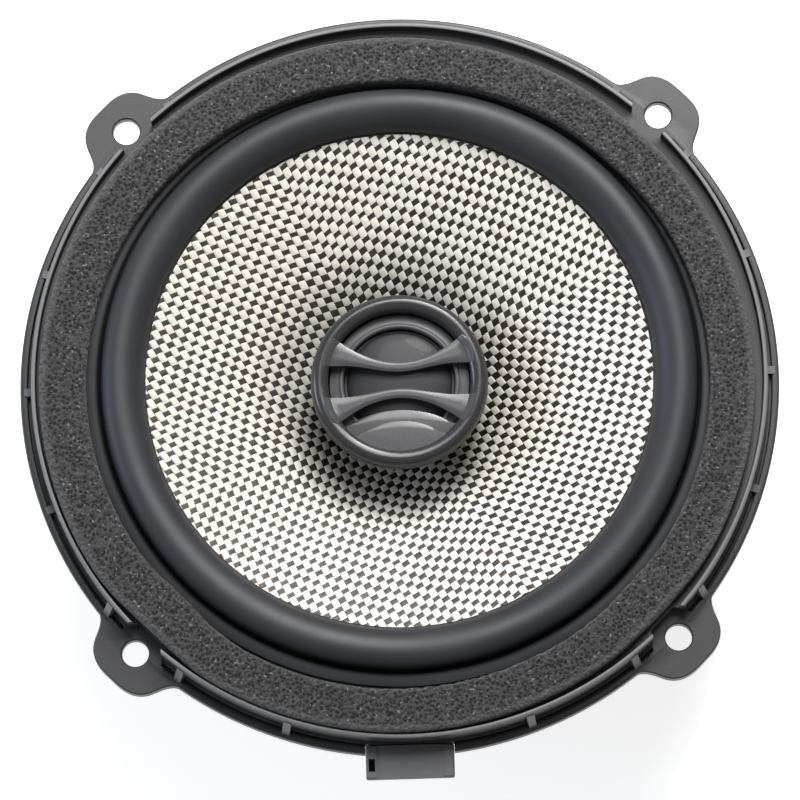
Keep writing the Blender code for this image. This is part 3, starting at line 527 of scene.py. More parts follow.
def rounded(corners, steps=3, most=0.45):
    """Outline through (x, y, rounding) corners; each corner with a rounding becomes a short curve.

    A curve takes at most the given share of each side it ends on.
    """
    outline = []
    count = len(corners)
    for i, (x, y, rounding) in enumerate(corners):
        here = Vector((x, y))
        if rounding == 0:
            outline.append((x, y))
            continue
        before = Vector(corners[i - 1][:2]) - here
        after = Vector(corners[(i + 1) % count][:2]) - here
        start = here + before.normalized() * min(rounding, before.length * most)
        end = here + after.normalized() * min(rounding, after.length * most)
        for step in range(steps + 1):
            t = step / steps
            point = start * (1 - t) ** 2 + here * 2 * t * (1 - t) + end * t ** 2
            outline.append(tuple(point))
    return outline


def polar(radius, angle):
    return radius * math.cos(angle), radius * math.sin(angle)


def arc(centre, radius, start, end, steps):
    """Points on an arc, both ends included; angles in radians."""
    angles = [start + (end - start) * i / steps for i in range(steps + 1)]
    return [(centre[0] + radius * math.cos(a), centre[1] + radius * math.sin(a)) for a in angles]


def spun(points, angle):
    cos, sin = math.cos(angle), math.sin(angle)
    return [(x * cos - y * sin, x * sin + y * cos) for x, y in points]


def prism(outline, bottom, top, edge=0.0):
    """Points and faces of an upright plate over an (x, y) outline, its top edge chamfered by edge."""
    count = len(outline)
    loops = [(outline, bottom)]
    if edge:
        loops += [(outline, top - edge), (shrunk(outline, edge), top)]
    else:
        loops.append((outline, top))
    points = [(x, y, z) for loop, z in loops for x, y in loop]
    faces = [tuple(range(count))[::-1], tuple(range(len(points) - count, len(points)))]
    for level in range(len(loops) - 1):
        for i in range(count):
            j = (i + 1) % count
            a, b = level * count, (level + 1) * count
            faces.append((a + i, a + j, b + j, b + i))
    return points, faces


def shrunk(outline, amount):
    """The outline moved inwards; it runs anticlockwise."""
    count = len(outline)
    result = []
    for i in range(count):
        before, here, after = (Vector(outline[k % count]) for k in (i - 1, i, i + 1))
        along = ((here - before).normalized() + (after - here).normalized()).normalized()
        inward = Vector((-along.y, along.x))
        result.append(tuple(here + inward * amount))
    return result


def joined(shapes):
    """Several (points, faces) shapes as one."""
    points, faces = [], []
    for shape_points, shape_faces in shapes:
        start = len(points)
        points += shape_points
        faces += [tuple(start + k for k in face) for face in shape_faces]
    return points, faces


def carve(obj, shape, operation):
    """Boolean of a (points, faces) shape on the piece: UNION or DIFFERENCE."""
    tool = tidy_mesh(new_piece("tool", *shape, obj.data.materials[0]))
    modifier = obj.modifiers.new("Carve", "BOOLEAN")
    modifier.operation = operation
    modifier.object = tool
    modifier.solver = "EXACT"
    graph = bpy.context.evaluated_depsgraph_get()
    mesh = bpy.data.meshes.new_from_object(obj.evaluated_get(graph))
    obj.modifiers.clear()
    obj.data = mesh
    bpy.data.objects.remove(tool)


def shade(obj, angle=35):
    obj.data.shade_smooth()
    obj.data.set_sharp_from_angle(angle=math.radians(angle))


def settle(piece, node=None, body="frame"):
    """Hides the CAD node that a finished piece stands in for, if one is given, and gives the piece its body.
    """
    if node:
        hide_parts(node)
    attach(piece, body)


def smoothstep(value):
    value = np.clip(value, 0, 1)
    return value * value * (3 - 2 * value)


def wavy(angle, seed, strengths):
    """Sum of a few slow waves round the axis, for edges cut or laid by hand."""
    total = 0
    for order, strength in enumerate(strengths, start=2):
        total = total + strength * np.sin(order * angle + seed * order * 1.7)
    return total


# ---------------------------------------------------------------- frame moulding


def frame_section():
    """Section of the frame moulding with its rounded edges."""
    wall_back = RIM_IN_R - 1.2
    corners = [
        (SEAT_IN_R, SEAT_Z, 0.5), (RIM_IN_R, SEAT_Z, 0.3), (RIM_IN_R, RIM_Z, 0.3), (RIM_OUT_R, RIM_Z, 0.4),
        (RIM_OUT_R, LEDGE_Z, 0.15), (LEDGE_R, LEDGE_Z, 0.15), (LEDGE_R, CHANNEL_FLOOR, 0.1),
        (CHANNEL_R, CHANNEL_FLOOR, 0.1), (CHANNEL_R, FLANGE_T, 0.25),
        (RING_R, FLANGE_T, 0.6), (RING_R, 0, 0.5),
        (wall_back, 0, 0.3), (wall_back, SEAT_Z - SEAT_T, 0.5),
        (COLLAR_R + WALL_T, SEAT_Z - SEAT_T, 0.5), (COLLAR_R + WALL_T, 0, 0.3), (COLLAR_R, 0, 0.3),
        (COLLAR_R, COLLAR_Z, 1.5), (LEG_FOOT_R, LEG_FOOT_Z, 1.5), (LEG_FOOT_R - 1.5, REAR_PLATE_BACK, 0.8),
        (REAR_BORE_R, REAR_PLATE_BACK, 0.3), (REAR_BORE_R, REAR_PLATE_TOP, 0.3),
        (LEG_FOOT_R - 4.2, REAR_PLATE_TOP, 0.5),
        (LEG_FOOT_R - 3.6, SPIDER_LEDGE_Z - 2.2, 0.3), (LEG_FOOT_R - 6.6, SPIDER_LEDGE_Z - 1.6, 0.3),
        (LEG_FOOT_R - 6.6, SPIDER_LEDGE_Z, 0.3), (LEG_FOOT_R - WALL_T, SPIDER_LEDGE_Z, 0.3),
        (COLLAR_R - WALL_T, COLLAR_Z + 1.2, 1.5), (COLLAR_R - WALL_T, SEAT_Z - SEAT_T - 1.2, 0.4),
        (SEAT_IN_R, SEAT_Z - SEAT_T, 0.4),
    ]
    return rounded(corners, 3)


def lug_outline():
    """Pad, hollow fillets, slanting flanks, rounded shoulders and tip of one lug along +X."""
    base_x = math.sqrt(RING_R ** 2 - LUG_BASE_HALF_W ** 2)
    fillet_end = polar(RING_R - 0.15, (LUG_BASE_HALF_W + LUG_FILLET) / RING_R)
    half = [(*point, 0) for point in arc((0, 0), CHANNEL_R + 0.25, 0, LUG_PAD_ANGLE, 6)]
    half += [(*fillet_end, 0), (base_x, LUG_BASE_HALF_W, LUG_FILLET)]
    half += [(LUG_TIP_R, LUG_TIP_HALF_W, LUG_SHOULDER)]
    other_half = [(x, -y, rounding) for x, y, rounding in reversed(half[1:])]
    return rounded(half + other_half, 9, 0.5)[::-1]


def notch_outline(inner_r):
    """Flat notch behind one lug along +X: narrow at the foam and wide at the channel."""
    outer_r = CHANNEL_R + 0.5
    outer_side = [(outer_r, NOTCH_OUT_HALF_W), (outer_r, -NOTCH_OUT_HALF_W)]
    return outer_side + [(inner_r, -NOTCH_IN_HALF_W), (inner_r, NOTCH_IN_HALF_W)]


def web(angle):
    """Rib across the channel. The ribs on the plug's side rise up the wall; the others lie low."""
    top = FLANGE_T + (5.4 if math.sin(angle) < -0.5 else 0.4)
    profile = [
        (RIM_OUT_R - 0.3, CHANNEL_FLOOR - 0.3), (RIB_REACH_R, CHANNEL_FLOOR - 0.3),
        (RIB_REACH_R, FLANGE_T + 0.15),
        (RIB_REACH_R - 0.25, FLANGE_T + 0.3), (RIM_OUT_R + 0.2, top), (RIM_OUT_R - 0.3, top),
    ]
    points = [(*spun([(r, y)], angle)[0], z) for y in (-RIB_W / 2, RIB_W / 2) for r, z in profile]
    count = len(profile)
    faces = [tuple(range(count)), tuple(range(count, 2 * count))[::-1]]
    faces += [((i + 1) % count, i, count + i, count + (i + 1) % count) for i in range(count)]
    return points, faces


def hole_cutter(x, y, radius, bottom, top, flare=0.35, sides=48):
    """Cutter for an upright round hole with both rims eased."""
    outline = arc((x, y), radius, 0, 2 * math.pi, sides)[:-1]
    wide = arc((x, y), radius + flare, 0, 2 * math.pi, sides)[:-1]
    levels = [(wide, bottom - 1), (wide, bottom), (outline, bottom + flare)]
    levels += [(outline, top - flare), (wide, top), (wide, top + 1)]
    points = [(px, py, z) for loop, z in levels for px, py in loop]
    faces = grid_faces(len(levels), sides, False, True)
    faces += [tuple(range(sides)), tuple(range(len(points) - sides, len(points)))[::-1]]
    return points, faces


def window_outline(angle):
    inner_r, outer_r = LEG_FOOT_R + 4.0, COLLAR_R - WALL_T - 0.5
    inner_half = WINDOW_HALF_ANGLE * 0.9
    inner = arc((0, 0), inner_r, angle + inner_half, angle - inner_half, 14)
    outer = arc((0, 0), outer_r, angle - WINDOW_HALF_ANGLE, angle + WINDOW_HALF_ANGLE, 20)
    corners = [(x, y, 0) for x, y in inner + outer]
    for i in (0, len(inner) - 1, len(inner), len(corners) - 1):
        corners[i] = (*corners[i][:2], 2.5)
    return rounded(corners, 4)


def build_frame(plastic, rib_plastic):
    moulding = lathe("frame_moulding", frame_section(), 200, plastic)
    lugs = [prism(spun(lug_outline(), a), 0.03, FLANGE_T - 0.03, 0.3) for a in LUG_ANGLES]
    carve(moulding, joined(lugs), "UNION")
    notches = [prism(spun(notch_outline(NOTCH_IN_R), a), FLANGE_T - 0.03, RIM_Z + 1) for a in LUG_ANGLES]
    carve(moulding, joined(notches), "DIFFERENCE")
    floors = [prism(spun(notch_outline(NOTCH_FLOOR_IN_R), a), 0.05, FLANGE_T - 0.04) for a in LUG_ANGLES]
    carve(moulding, joined(floors), "UNION")
    holes = [hole_cutter(*polar(LUG_R, a), LUG_HOLE_R, 0.0, FLANGE_T) for a in LUG_ANGLES]
    holes += [
        hole_cutter(*polar(SCREW_CIRCLE_R, a), SCREW_HOLE_R, REAR_PLATE_BACK, REAR_PLATE_TOP, 0.2, 20)
        for a in LUG_ANGLES
    ]
    carve(moulding, joined(holes), "DIFFERENCE")
    windows = [prism(window_outline(QUARTER * i), LEG_FOOT_Z - 1.02, COLLAR_Z + 5.03) for i in range(4)]
    carve(moulding, joined(windows), "DIFFERENCE")
    half = PLUG_HALF_W + PLUG_SLIT
    notch = [(-half, -LUG_TIP_R), (half, -LUG_TIP_R), (half, PLUG_BACK_Y), (-half, PLUG_BACK_Y)]
    carve(moulding, prism(notch, -1, FLANGE_T + 1), "DIFFERENCE")
    shade(moulding)
    settle(moulding, "basket")
    ribs = new_piece("frame_ribs", *joined([web(a) for a in RIB_ANGLES]), rib_plastic, 30)
    tidy_mesh(ribs)
    settle(ribs)


# ---------------------------------------------------------------- foam ring and rubber surround


def foam_noise(x, y, z):
    """Cheap repeatable roughness between -1 and 1 for the foam's cut faces."""
    total = np.zeros_like(x)
    rng = np.random.default_rng(5)
    for _ in range(14):
        direction = rng.normal(size=3)
        direction *= rng.uniform(2.2, 4.6) / np.linalg.norm(direction)
        total += np.sin(x * direction[0] + y * direction[1] + z * direction[2] + rng.uniform(0, 6.28))
    return total / 4.5


def build_foam(material):
    """Die-cut foam ring laid by hand: a little off-centre, with soft ragged edges."""
    segments = 1080
    across = 24
    side = 5
    soft = 0.9
    inner, outer = FOAM_R - FOAM_W, FOAM_R
    shoulder = FOAM_TOP - soft
    section = [(inner, FOAM_BOTTOM + (shoulder - FOAM_BOTTOM) * i / side) for i in range(side)]
    section += [(inner + soft * (1 - math.cos(a)), shoulder + soft * math.sin(a)) for a in (0, 0.5, 1.0)]
    section += [(inner + soft + (FOAM_W - 2 * soft) * i / across, FOAM_TOP) for i in range(across + 1)]
    section += [(outer - soft * (1 - math.cos(a)), shoulder + soft * math.sin(a)) for a in (1.0, 0.5, 0)]
    section += [(outer, shoulder - (shoulder - FOAM_BOTTOM) * i / side) for i in range(1, side + 1)]
    section = np.array(section)
    angle = (np.arange(segments) * 2 * math.pi / segments)[:, None]
    share = ((section[:, 0] - inner) / FOAM_W)[None, :]
    dips = ((LUG_ANGLES[0], 0.5), (LUG_ANGLES[2], 1.5), (LUG_ANGLES[3], 0.8))
    pinch = sum(depth * np.exp(-((angle - middle) / 0.13) ** 2) for middle, depth in dips)
    # How far outwards the ring's two edges lie from those of its CAD solid.
    edge_in = -1.15 - 0.3 * np.cos(angle) - 1.5 * np.sin(angle) - 0.8 * pinch
    edge_out = -0.5 - 0.75 * np.cos(angle) - 1.25 * np.sin(angle) - pinch
    edge_in = edge_in + wavy(angle, 1.3, (0.1, 0.14, 0.1, 0.1, 0.08))
    edge_out = edge_out + wavy(angle, 4.1, (0.06, 0.1, 0.08, 0.06, 0.05))
    radius = section[None, :, 0] + edge_in * (1 - share) + np.minimum(edge_out, 0.85) * share
    height = np.repeat(section[None, :, 1], segments, axis=0)
    x, y = radius * np.cos(angle), radius * np.sin(angle)
    rough = foam_noise(x, y, height)
    ragged = np.clip(rough, -1.4, 0.6) * (1 - 0.6 * smoothstep((share - 0.82) / 0.1))
    on_top = smoothstep((height - FOAM_BOTTOM) / (FOAM_TOP - FOAM_BOTTOM))
    height = height + on_top * (0.16 * ragged - 0.12 + 0.1 * wavy(angle, 2.2, (0.6, 0.4, 0.3)))
    outward = (share - 0.5) * 2
    push = 0.14 * ragged * np.abs(outward) ** 6 * np.sign(outward)
    x, y = x + push * np.cos(angle), y + push * np.sin(angle)
    points = np.stack([x, y, height], axis=-1)
    ring = new_piece("foam_ring", points, grid_faces(segments, len(section), True, True), material, 180)
    skin = ring.data.attributes.new("skin", "FLOAT", "POINT")
    smooth_edge = smoothstep((share - 0.80) / 0.12) + 0.35 * smoothstep((0.12 - share) / 0.1)
    skin.data.foreach_set("value", np.broadcast_to(smooth_edge, height.shape).astype(np.float32).ravel())
    tidy_mesh(ring)
    settle(ring, "foam_gasket")


def cone_height(radius):
    """Height of the cone's front surface."""
    change = (SLOPE_AT_NECK - SLOPE_AT_EDGE) / (CONE_R - NECK_R)
    inward = CONE_R - radius
    return CONE_EDGE_Z - SLOPE_AT_EDGE * inward - change * inward ** 2 / 2


def follow_cone(piece):
    """Bakes the piece's placement into its mesh and reads its points; it bends nothing."""
    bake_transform(piece)
    points = np.zeros(len(piece.data.vertices) * 3)
    piece.data.vertices.foreach_get("co", points)
    points = points.reshape(-1, 3)


def build_surround(material):
    """Half-roll with a foot glued under the cone's edge and a foot glued on the frame's seat."""
    foot_top = SEAT_Z + GAP + RUBBER_T
    middle = (ROLL_IN_R + ROLL_OUT_R) / 2
    half = (ROLL_OUT_R - ROLL_IN_R) / 2
    steps = 28
    front, back = [], []
    for i in range(steps + 1):
        across, up = -math.cos(math.pi * i / steps), math.sin(math.pi * i / steps)
        base = foot_top + (CONE_EDGE_Z - CONE_T - foot_top) * (1 - across) / 2
        front.append((middle + half * across, base + ROLL_HEIGHT * up))
        back.append((middle + (half - RUBBER_T) * across, base - RUBBER_T + ROLL_HEIGHT * up))
    foot_in = CONE_R - 3.4
    under = cone_height(foot_in) - CONE_T - GAP
    lip = CONE_EDGE_Z + 0.25
    profile = [(foot_in, under), (CONE_R + 0.05, CONE_EDGE_Z - CONE_T - GAP), (CONE_R + 0.05, lip - 0.15)]
    profile += [(CONE_R + 0.2, lip), (CONE_R + 0.5, lip - 0.02), (CONE_R + 0.62, lip - 0.2)]
    profile += [point for point in front if point[1] > lip or point[0] > middle]
    profile += rounded([(ROLL_OUT_R + 0.3, foot_top - 0.15, 0.2), (ROLL_OUT_R + 0.7, foot_top, 0.3)], 2)
    profile += [(SURROUND_R - 0.3, foot_top), (SURROUND_R, foot_top - 0.25)]
    profile += [(SURROUND_R, foot_top - RUBBER_T)]
    profile += back[::-1]
    profile += [(foot_in, under - RUBBER_T)]
    surround = lathe("rubber_surround", profile, 220, material, 60)
    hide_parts("surround")
    follow_cone(surround)


# ---------------------------------------------------------------- woven cone


def drape(along, across):
    """Radius and angle on the cone of a point of the flat cloth, given along its light and dark yarns.

    The cloth's two middle threads stay straight; each quarter between them shears to fill 90 degrees.
    """
    quarter = np.where(across >= 0, np.where(along >= 0, 0, 1), np.where(along >= 0, 3, 2))
    first = np.choose(quarter, [along, across, -along, -across])
    second = np.choose(quarter, [across, -along, -across, along])
    opening = QUARTER * CLOTH_SHEAR
    x = first + second * math.cos(opening)
    y = second * math.sin(opening)
    radius = np.hypot(x, y) * CLOTH_DRAW
    return radius, YARN_ANGLE + quarter * QUARTER + np.arctan2(y, x) / CLOTH_SHEAR


def wander(rng, station, spacing, amount):
    """Slow random change along a yarn."""
    knots = station[::spacing]
    return np.interp(station, knots, rng.normal(0, amount, len(knots)))


def ribbon_faces(inside, start):
    """Quads of one yarn where it is on the cone; its points are stored from start on, station by station."""
    columns = inside.shape[1]
    faces = []
    for i in np.nonzero(inside[:-1].any(axis=1) | inside[1:].any(axis=1))[0]:
        base = start + i * columns
        for k in range(columns - 1):
            if inside[i, k:k + 2].any() or inside[i + 1, k:k + 2].any():
                faces.append((base + k, base + columns + k, base + columns + k + 1, base + k + 1))
    return faces


def build_yarns(name, material, along_light, widths, rise, crown, lift, tone_range):
    """All the yarns of one direction, each a crowned ribbon that goes over and under its neighbours.

    Widths, in pitches, are those of a yarn's part on top and of its part underneath. Rise and crown are
    heights. Near the tweeter the light yarns are narrower, the dark ones wider, and both are painted darker
    as shade.
    """
    reach = int(CONE_R / CLOTH_DRAW / PITCH * 1.12) + 1
    inner_r, outer_r = NECK_R + 0.3, CONE_R - 0.1
    widening, pod_shade_depth, seed, side = (-0.15, 0.5, 11, 1) if along_light else (0.18, 0.8, 12, -1)
    station = (np.arange(-reach, reach)[:, None] + np.array(STATIONS)[None, :]).ravel()
    section = np.array([-1.0, -0.72, 0.0, 0.72, 1.0])
    columns = len(section)
    rng = np.random.default_rng(seed)
    verts, faces, texture, tones = [], [], [], []
    for number in range(-reach, reach + 1):
        # A flattened wave: 1 where the yarn lies on top and -1 where it lies underneath.
        wave = np.tanh(2.2 * np.cos(math.pi * (station + number)) * side) / 0.976
        drift = wander(rng, station, 18, 0.03)
        swell = 1 + rng.normal(0, 0.05) + wander(rng, station, 24, 0.05)
        middle = (station, number + drift) if along_light else (number + drift, station)
        middle_r, _ = drape(*(np.broadcast_to(part, station.shape) * PITCH for part in middle))
        tight = smoothstep((44 - middle_r) / 24)
        over = smoothstep((wave + 0.25) / 0.7)
        wide = widths[0] * (1 + widening * tight)
        half = (widths[1] + (wide - widths[1]) * over) / 2 * swell
        across = number + drift[:, None] + half[:, None] * section[None, :]
        along = np.repeat(station[:, None], columns, axis=1)
        pair = (along, across) if along_light else (across, along)
        radius, angle = drape(pair[0] * PITCH, pair[1] * PITCH)
        inside = (radius > inner_r) & (radius < outer_r)
        radius = np.clip(radius, inner_r, outer_r)
        droop = crown * np.clip(wave, 0.12, 1)[:, None] * np.abs(section[None, :]) ** 1.8
        height = cone_height(radius) + lift + rise * wave[:, None] - droop
        points = np.stack([radius * np.cos(angle), radius * np.sin(angle), height], axis=-1)
        faces += ribbon_faces(inside, len(verts) * len(station) * columns)
        verts.append(points.reshape(-1, 3))
        sideways = np.repeat(section[None, :], len(station), axis=0) + number * 7
        texture.append(np.stack([along, sideways], axis=-1).reshape(-1, 2))
        float_tone = rng.uniform(*tone_range, 2 * reach + 2)[np.round(station - station[0] + 0.5).astype(int)]
        # Painted shade: floats near the tweeter are darkened for the pod's shadow and the yarns' dimmer sheen
        # there.
        shadow = 1 - pod_shade_depth * smoothstep((42 - middle_r) / 24)
        tones.append(np.repeat((float_tone * shadow)[:, None], columns, axis=1).ravel())
    piece = new_piece(name, np.concatenate(verts), faces, material, 180)
    mark_cloth(piece.data, np.concatenate(texture), np.concatenate(tones))
    clean_cloth(piece.data)
    settle(piece, body="moving_cone")


def mark_cloth(mesh, places, tones):
    """Stores where each point lies on its yarn, for the streaks, and how bright its float is, painted shade
    included.
    """
    layer = mesh.uv_layers.new(name="cloth")
    corner_points = np.zeros(len(mesh.loops), dtype=int)
    mesh.loops.foreach_get("vertex_index", corner_points)
    layer.data.foreach_set("uv", places[corner_points].ravel())
    tone = mesh.attributes.new("tone", "FLOAT", "POINT")
    tone.data.foreach_set("value", tones.astype(np.float32))


def clean_cloth(mesh):
    """Drops points without faces and makes every face look up."""
    clean = bmesh.new()
    clean.from_mesh(mesh)
    bmesh.ops.delete(clean, geom=[v for v in clean.verts if not v.link_faces], context="VERTS")
    clean.normal_update()
    bmesh.ops.reverse_faces(clean, faces=[f for f in clean.faces if f.normal.z < 0])
    clean.to_mesh(mesh)
    clean.free()


def build_cone(resin, light_yarn, dark_yarn):
    steps = 30
    radii = [NECK_R + (CONE_R - NECK_R) * i / steps for i in range(steps + 1)]
    front = [(r, cone_height(r) - 0.08) for r in radii]
    back = [(r, cone_height(r) - CONE_T) for r in reversed(radii)]
    body = lathe("cone_body", front + back, 180, resin, 60)
    settle(body, "cone", "moving_cone")
    build_yarns("light_yarns", light_yarn, True, (1.30, 0.86), 0.30, 0.17, 0.03, (0.86, 1.0))
    build_yarns("dark_yarns", dark_yarn, False, (1.16, 0.98), 0.11, 0.06, 0.0, (0.5, 1.2))


# ---------------------------------------------------------------- tweeter


def rim_profile():
    """Section of the tweeter's front ring."""
    base = CUP_TOP + GAP
    turns = [QUARTER * i / 10 for i in range(11)]
    inner_w, outer_w, outer_h = CREST_R - OPENING_R, GRILLE_R - CREST_R, CREST_Z - base - 0.4
    inner = [(CREST_R - inner_w * math.cos(a), CREST_Z - RIM_FALL + RIM_FALL * math.sin(a)) for a in turns]
    outer = [(CREST_R + outer_w * math.sin(a), base + 0.4 + outer_h * math.cos(a)) for a in turns[1:]]
    skirt = [(GRILLE_R, base), (CUP_R - 2.5, base), (CUP_R - 2.8, 1.0), (OPENING_R, 1.0)]
    return inner + outer + skirt


def rim_height(radius):
    """Height of the front ring's inner slope; flat inside the opening."""
    share = np.clip((CREST_R - radius) / (CREST_R - OPENING_R), 0, 1)
    return CREST_Z - RIM_FALL + RIM_FALL * np.sqrt(np.clip(1 - share ** 2, 0, 1))


def solid_between(x, y, top, bottom):
    """Points and faces of the solid between two sheets of heights over one grid."""
    upper = np.stack([x, y, top], axis=-1)
    lower = np.stack([x, y, np.broadcast_to(bottom, top.shape)], axis=-1)
    ring = np.concatenate([upper, lower[:, ::-1]], axis=1)
    rows, count = ring.shape[:2]
    faces = grid_faces(rows, count, False, True)
    faces += [tuple(range(count)), tuple(range((rows - 1) * count, rows * count))[::-1]]
    return ring.reshape(-1, 3).tolist(), faces


def bar_shape(side):
    """One waisted bar with claws over the ring; side is 1 for the upper bar and -1 for the lower."""
    steps, rows = 56, 9
    s = np.linspace(-1, 1, steps + 1)[:, None]
    t = np.linspace(0, 1, rows)[None, :]
    end_angle = math.radians(12.5) + math.radians(22.5) * t
    end_r = 19.4
    x = s * (end_r * np.cos(end_angle))
    inner_mid, inner_rise, outer_mid, outer_curve = 2.15, 1.85, 4.45, 0.0267
    inner_y = inner_mid + inner_rise * smoothstep(np.abs(x) / 14)
    outer_y = outer_mid + outer_curve * x ** 2
    y = inner_y + (outer_y - inner_y) * t
    radius = np.hypot(x, y)
    lifted = np.maximum(rim_height(radius) + 0.3, BAR_TOP)
    top = BAR_TOP + (lifted - BAR_TOP) * smoothstep((radius - 15.5) / 2.0)
    top = top - 0.22 * np.clip(np.abs(2 * t - 1) - 0.6, 0, 1) / 0.4 * np.ones_like(x)
    end_drop = smoothstep((np.abs(s) - 0.965) / 0.035)
    top = top - 0.35 * end_drop
    bottom = np.where(radius > OPENING_R - 0.3, rim_height(radius) - 0.5, BAR_TOP - 1.5)
    return solid_between(x, side * y, top, bottom)


def panel_shape(arch_r, apex_y, half_w, crest):
    """Solid panel that closes the bottom of the opening: its top edge is an arch, its face lies at crest."""
    s = np.linspace(-1, 1, 41)[:, None]
    t = np.linspace(0, 1, 10)[None, :]
    arch_angle = math.asin(half_w / arch_r) * s
    arch_x = arch_r * np.sin(arch_angle)
    arch_top = apex_y - arch_r + arch_r * np.cos(arch_angle)
    limit = OPENING_R + 0.5
    rim_y = -np.sqrt(np.clip(limit ** 2 - arch_x ** 2, 0, None))
    y = np.minimum(arch_top, -3.0) * (1 - t) + np.minimum(rim_y, arch_top - 0.01) * t
    x = arch_x * np.ones_like(t)
    centre_fall = ((x / 12) ** 2 + ((y + 13) / 7) ** 2) * 0.16
    top = crest - centre_fall - 0.25 * np.clip(1 - t * 12, 0, 1)
    return solid_between(x, y, top, crest - 2.0)


def build_tweeter(rim_plastic, bar_plastic, cup_plastic, ring_plastic, silk):
    rim = lathe("tweeter_rim", rim_profile(), 160, rim_plastic, 50)
    settle(rim, "tweeter_grille")
    shapes = [bar_shape(1), bar_shape(-1), panel_shape(18.9, -10.3, 12.2, 4.75)]
    bars = tidy_mesh(new_piece("tweeter_bars", *joined(shapes), bar_plastic))
    step = tidy_mesh(new_piece("tweeter_step", *panel_shape(26.0, -7.2, 14.5, 3.3), rim_plastic))
    for piece in (bars, step):
        shade(piece, 30)
        settle(piece)
    cup = lathe("tweeter_pod", rounded([
        (CUP_R - 1.5, CUP_TOP, 0.2), (CUP_R - 0.2, CUP_TOP, 0.3), (CUP_R, CUP_TOP - 0.8, 0.4),
        (CUP_R - 0.6, CUP_TOP - 3.4, 1.0), (CUP_R - 2.2, CUP_TOP - 5.4, 1.2), (15.0, CUP_FLOOR - 0.6, 1.0),
        (12.0, CUP_FLOOR - 1.4, 0.6), (3.4, CUP_FLOOR - 1.4, 0.2),
        (3.4, CUP_FLOOR, 0.2), (12.8, CUP_FLOOR, 0.8),
        (CUP_R - 3.6, CUP_TOP - 5.2, 0.8), (CUP_R - 2.1, CUP_TOP - 3.0, 0.5),
        (CUP_R - 2.0, CUP_TOP - 1.0, 0.3),
    ]), 120, cup_plastic)
    settle(cup, "tweeter_cup")
    outer = OPENING_R - GAP
    face = lathe("tweeter_face", rounded([
        (13.6, 1.7, 0.15), (13.9, 2.2, 0.2), (14.4, 2.3, 0.2), (14.8, 1.9, 0.3), (outer, 1.5, 0.2),
        (outer, -0.2, 0.1), (14.3, -0.2, 0.1), (13.6, 0.9, 0.1),
    ]), 120, ring_plastic)
    settle(face, "tweeter_face_ring")
    build_dome(silk)


def build_dome(silk):
    skin = 0.25
    foot = DOME_FOOT_Z + 0.3
    turns = [QUARTER * i / 18 for i in range(19)]
    top = [(DOME_R * math.sin(a), foot + DOME_HEIGHT * math.cos(a) ** 1.3) for a in turns]
    top.append((DOME_FOOT_R, foot))
    back = [(max(r - skin * 0.6, 0), z - skin) for r, z in reversed(top)]
    dome = lathe("silk_dome", top + back, 96, silk, 50)
    settle(dome, "tweeter_dome", "moving_dome")


# ---------------------------------------------------------------- behind the cone


def build_spider(material):
    """Corrugated disc between the coil's tube and the frame's ledge."""
    thickness, waves, height = 0.4, 5, 1.0
    foot_out = SPIDER_R - 4.6
    start = NECK_R + 1.5
    level = SPIDER_Z + thickness / 2
    front = [(NECK_R, level)]
    for share in (i / 80 for i in range(81)):
        lift = height * math.cos(2 * math.pi * waves * share)
        front.append((start + (foot_out - start) * share, level + lift))
    front += [(foot_out + 1.5, level), (SPIDER_R, level)]
    back = [(r, z - thickness) for r, z in reversed(front)]
    spider = lathe("spider_cloth", front + back, 96, material, 60)
    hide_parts("spider")
    follow_cone(spider)


def build_leads(material):
    """Braided leads that sag between the lugs and the cone's back."""
    board_y = -COLLAR_R - 1.9
    lead_r = 36.0
    for name, x in (("negative", -6.0), ("positive", 6.0)):
        path = [(x, board_y + 0.7, -11.5), (x, -66, -16.0), (x, -54, -18.5), (x, -44, -14.5),
                (x, -lead_r, cone_height(lead_r) - CONE_T - 0.3)]
        piece = tube(f"braided_lead_{name}", path, 0.55, material)
        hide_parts(f"tinsel_lead_{name}")
        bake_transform(piece)


def tube(name, path, radius, material):
    """Round wire on a smooth path, as a mesh."""
    curve = bpy.data.curves.new(name, "CURVE")
    curve.dimensions = "3D"
    curve.bevel_depth = radius * MM
    curve.bevel_resolution = 3
    curve.use_fill_caps = True
    spline = curve.splines.new("BEZIER")
    spline.bezier_points.add(len(path) - 1)
    spline.resolution_u = 14
    for knot, (x, y, z) in zip(spline.bezier_points, path):
        knot.co = Vector((x, y, z + FLANGE_BACK)) * MM
        knot.handle_left_type = knot.handle_right_type = "AUTO"
    shape = placed(name + "_path", curve)
    graph = bpy.context.evaluated_depsgraph_get()
    mesh = bpy.data.meshes.new_from_object(shape.evaluated_get(graph))
    bpy.data.objects.remove(shape)
    mesh.name = name
    mesh.materials.clear()
    mesh.materials.append(material)
    mesh.shade_smooth()
    return tidy_mesh(placed(name, mesh))


def eased_ring(name, node, bore_r, bore_edge, outer_edge, steps, material):
    """Flat ring of a CAD node's size with rounded edges."""
    outer_r = high(node).x
    top, bottom = high(node).z - FLANGE_BACK, low(node).z - FLANGE_BACK
    section = [
        (bore_r, top, bore_edge), (outer_r, top, outer_edge), (outer_r, bottom, outer_edge),
        (bore_r, bottom, bore_edge),
    ]
    return lathe(name, rounded(section, steps), 160, material)


def build_motor(steel, ferrite):
    """Front plate and magnet, as finer solids than the frame's."""
    plate = eased_ring("front_plate", "top_plate", PLATE_BORE_R, 0.2, 0.7, 3, steel)
    settle(plate, "top_plate")
    magnet = eased_ring("ferrite_ring", "magnet", REAR_BORE_R, 0.4, 1.3, 4, ferrite)
    settle(magnet, "magnet")


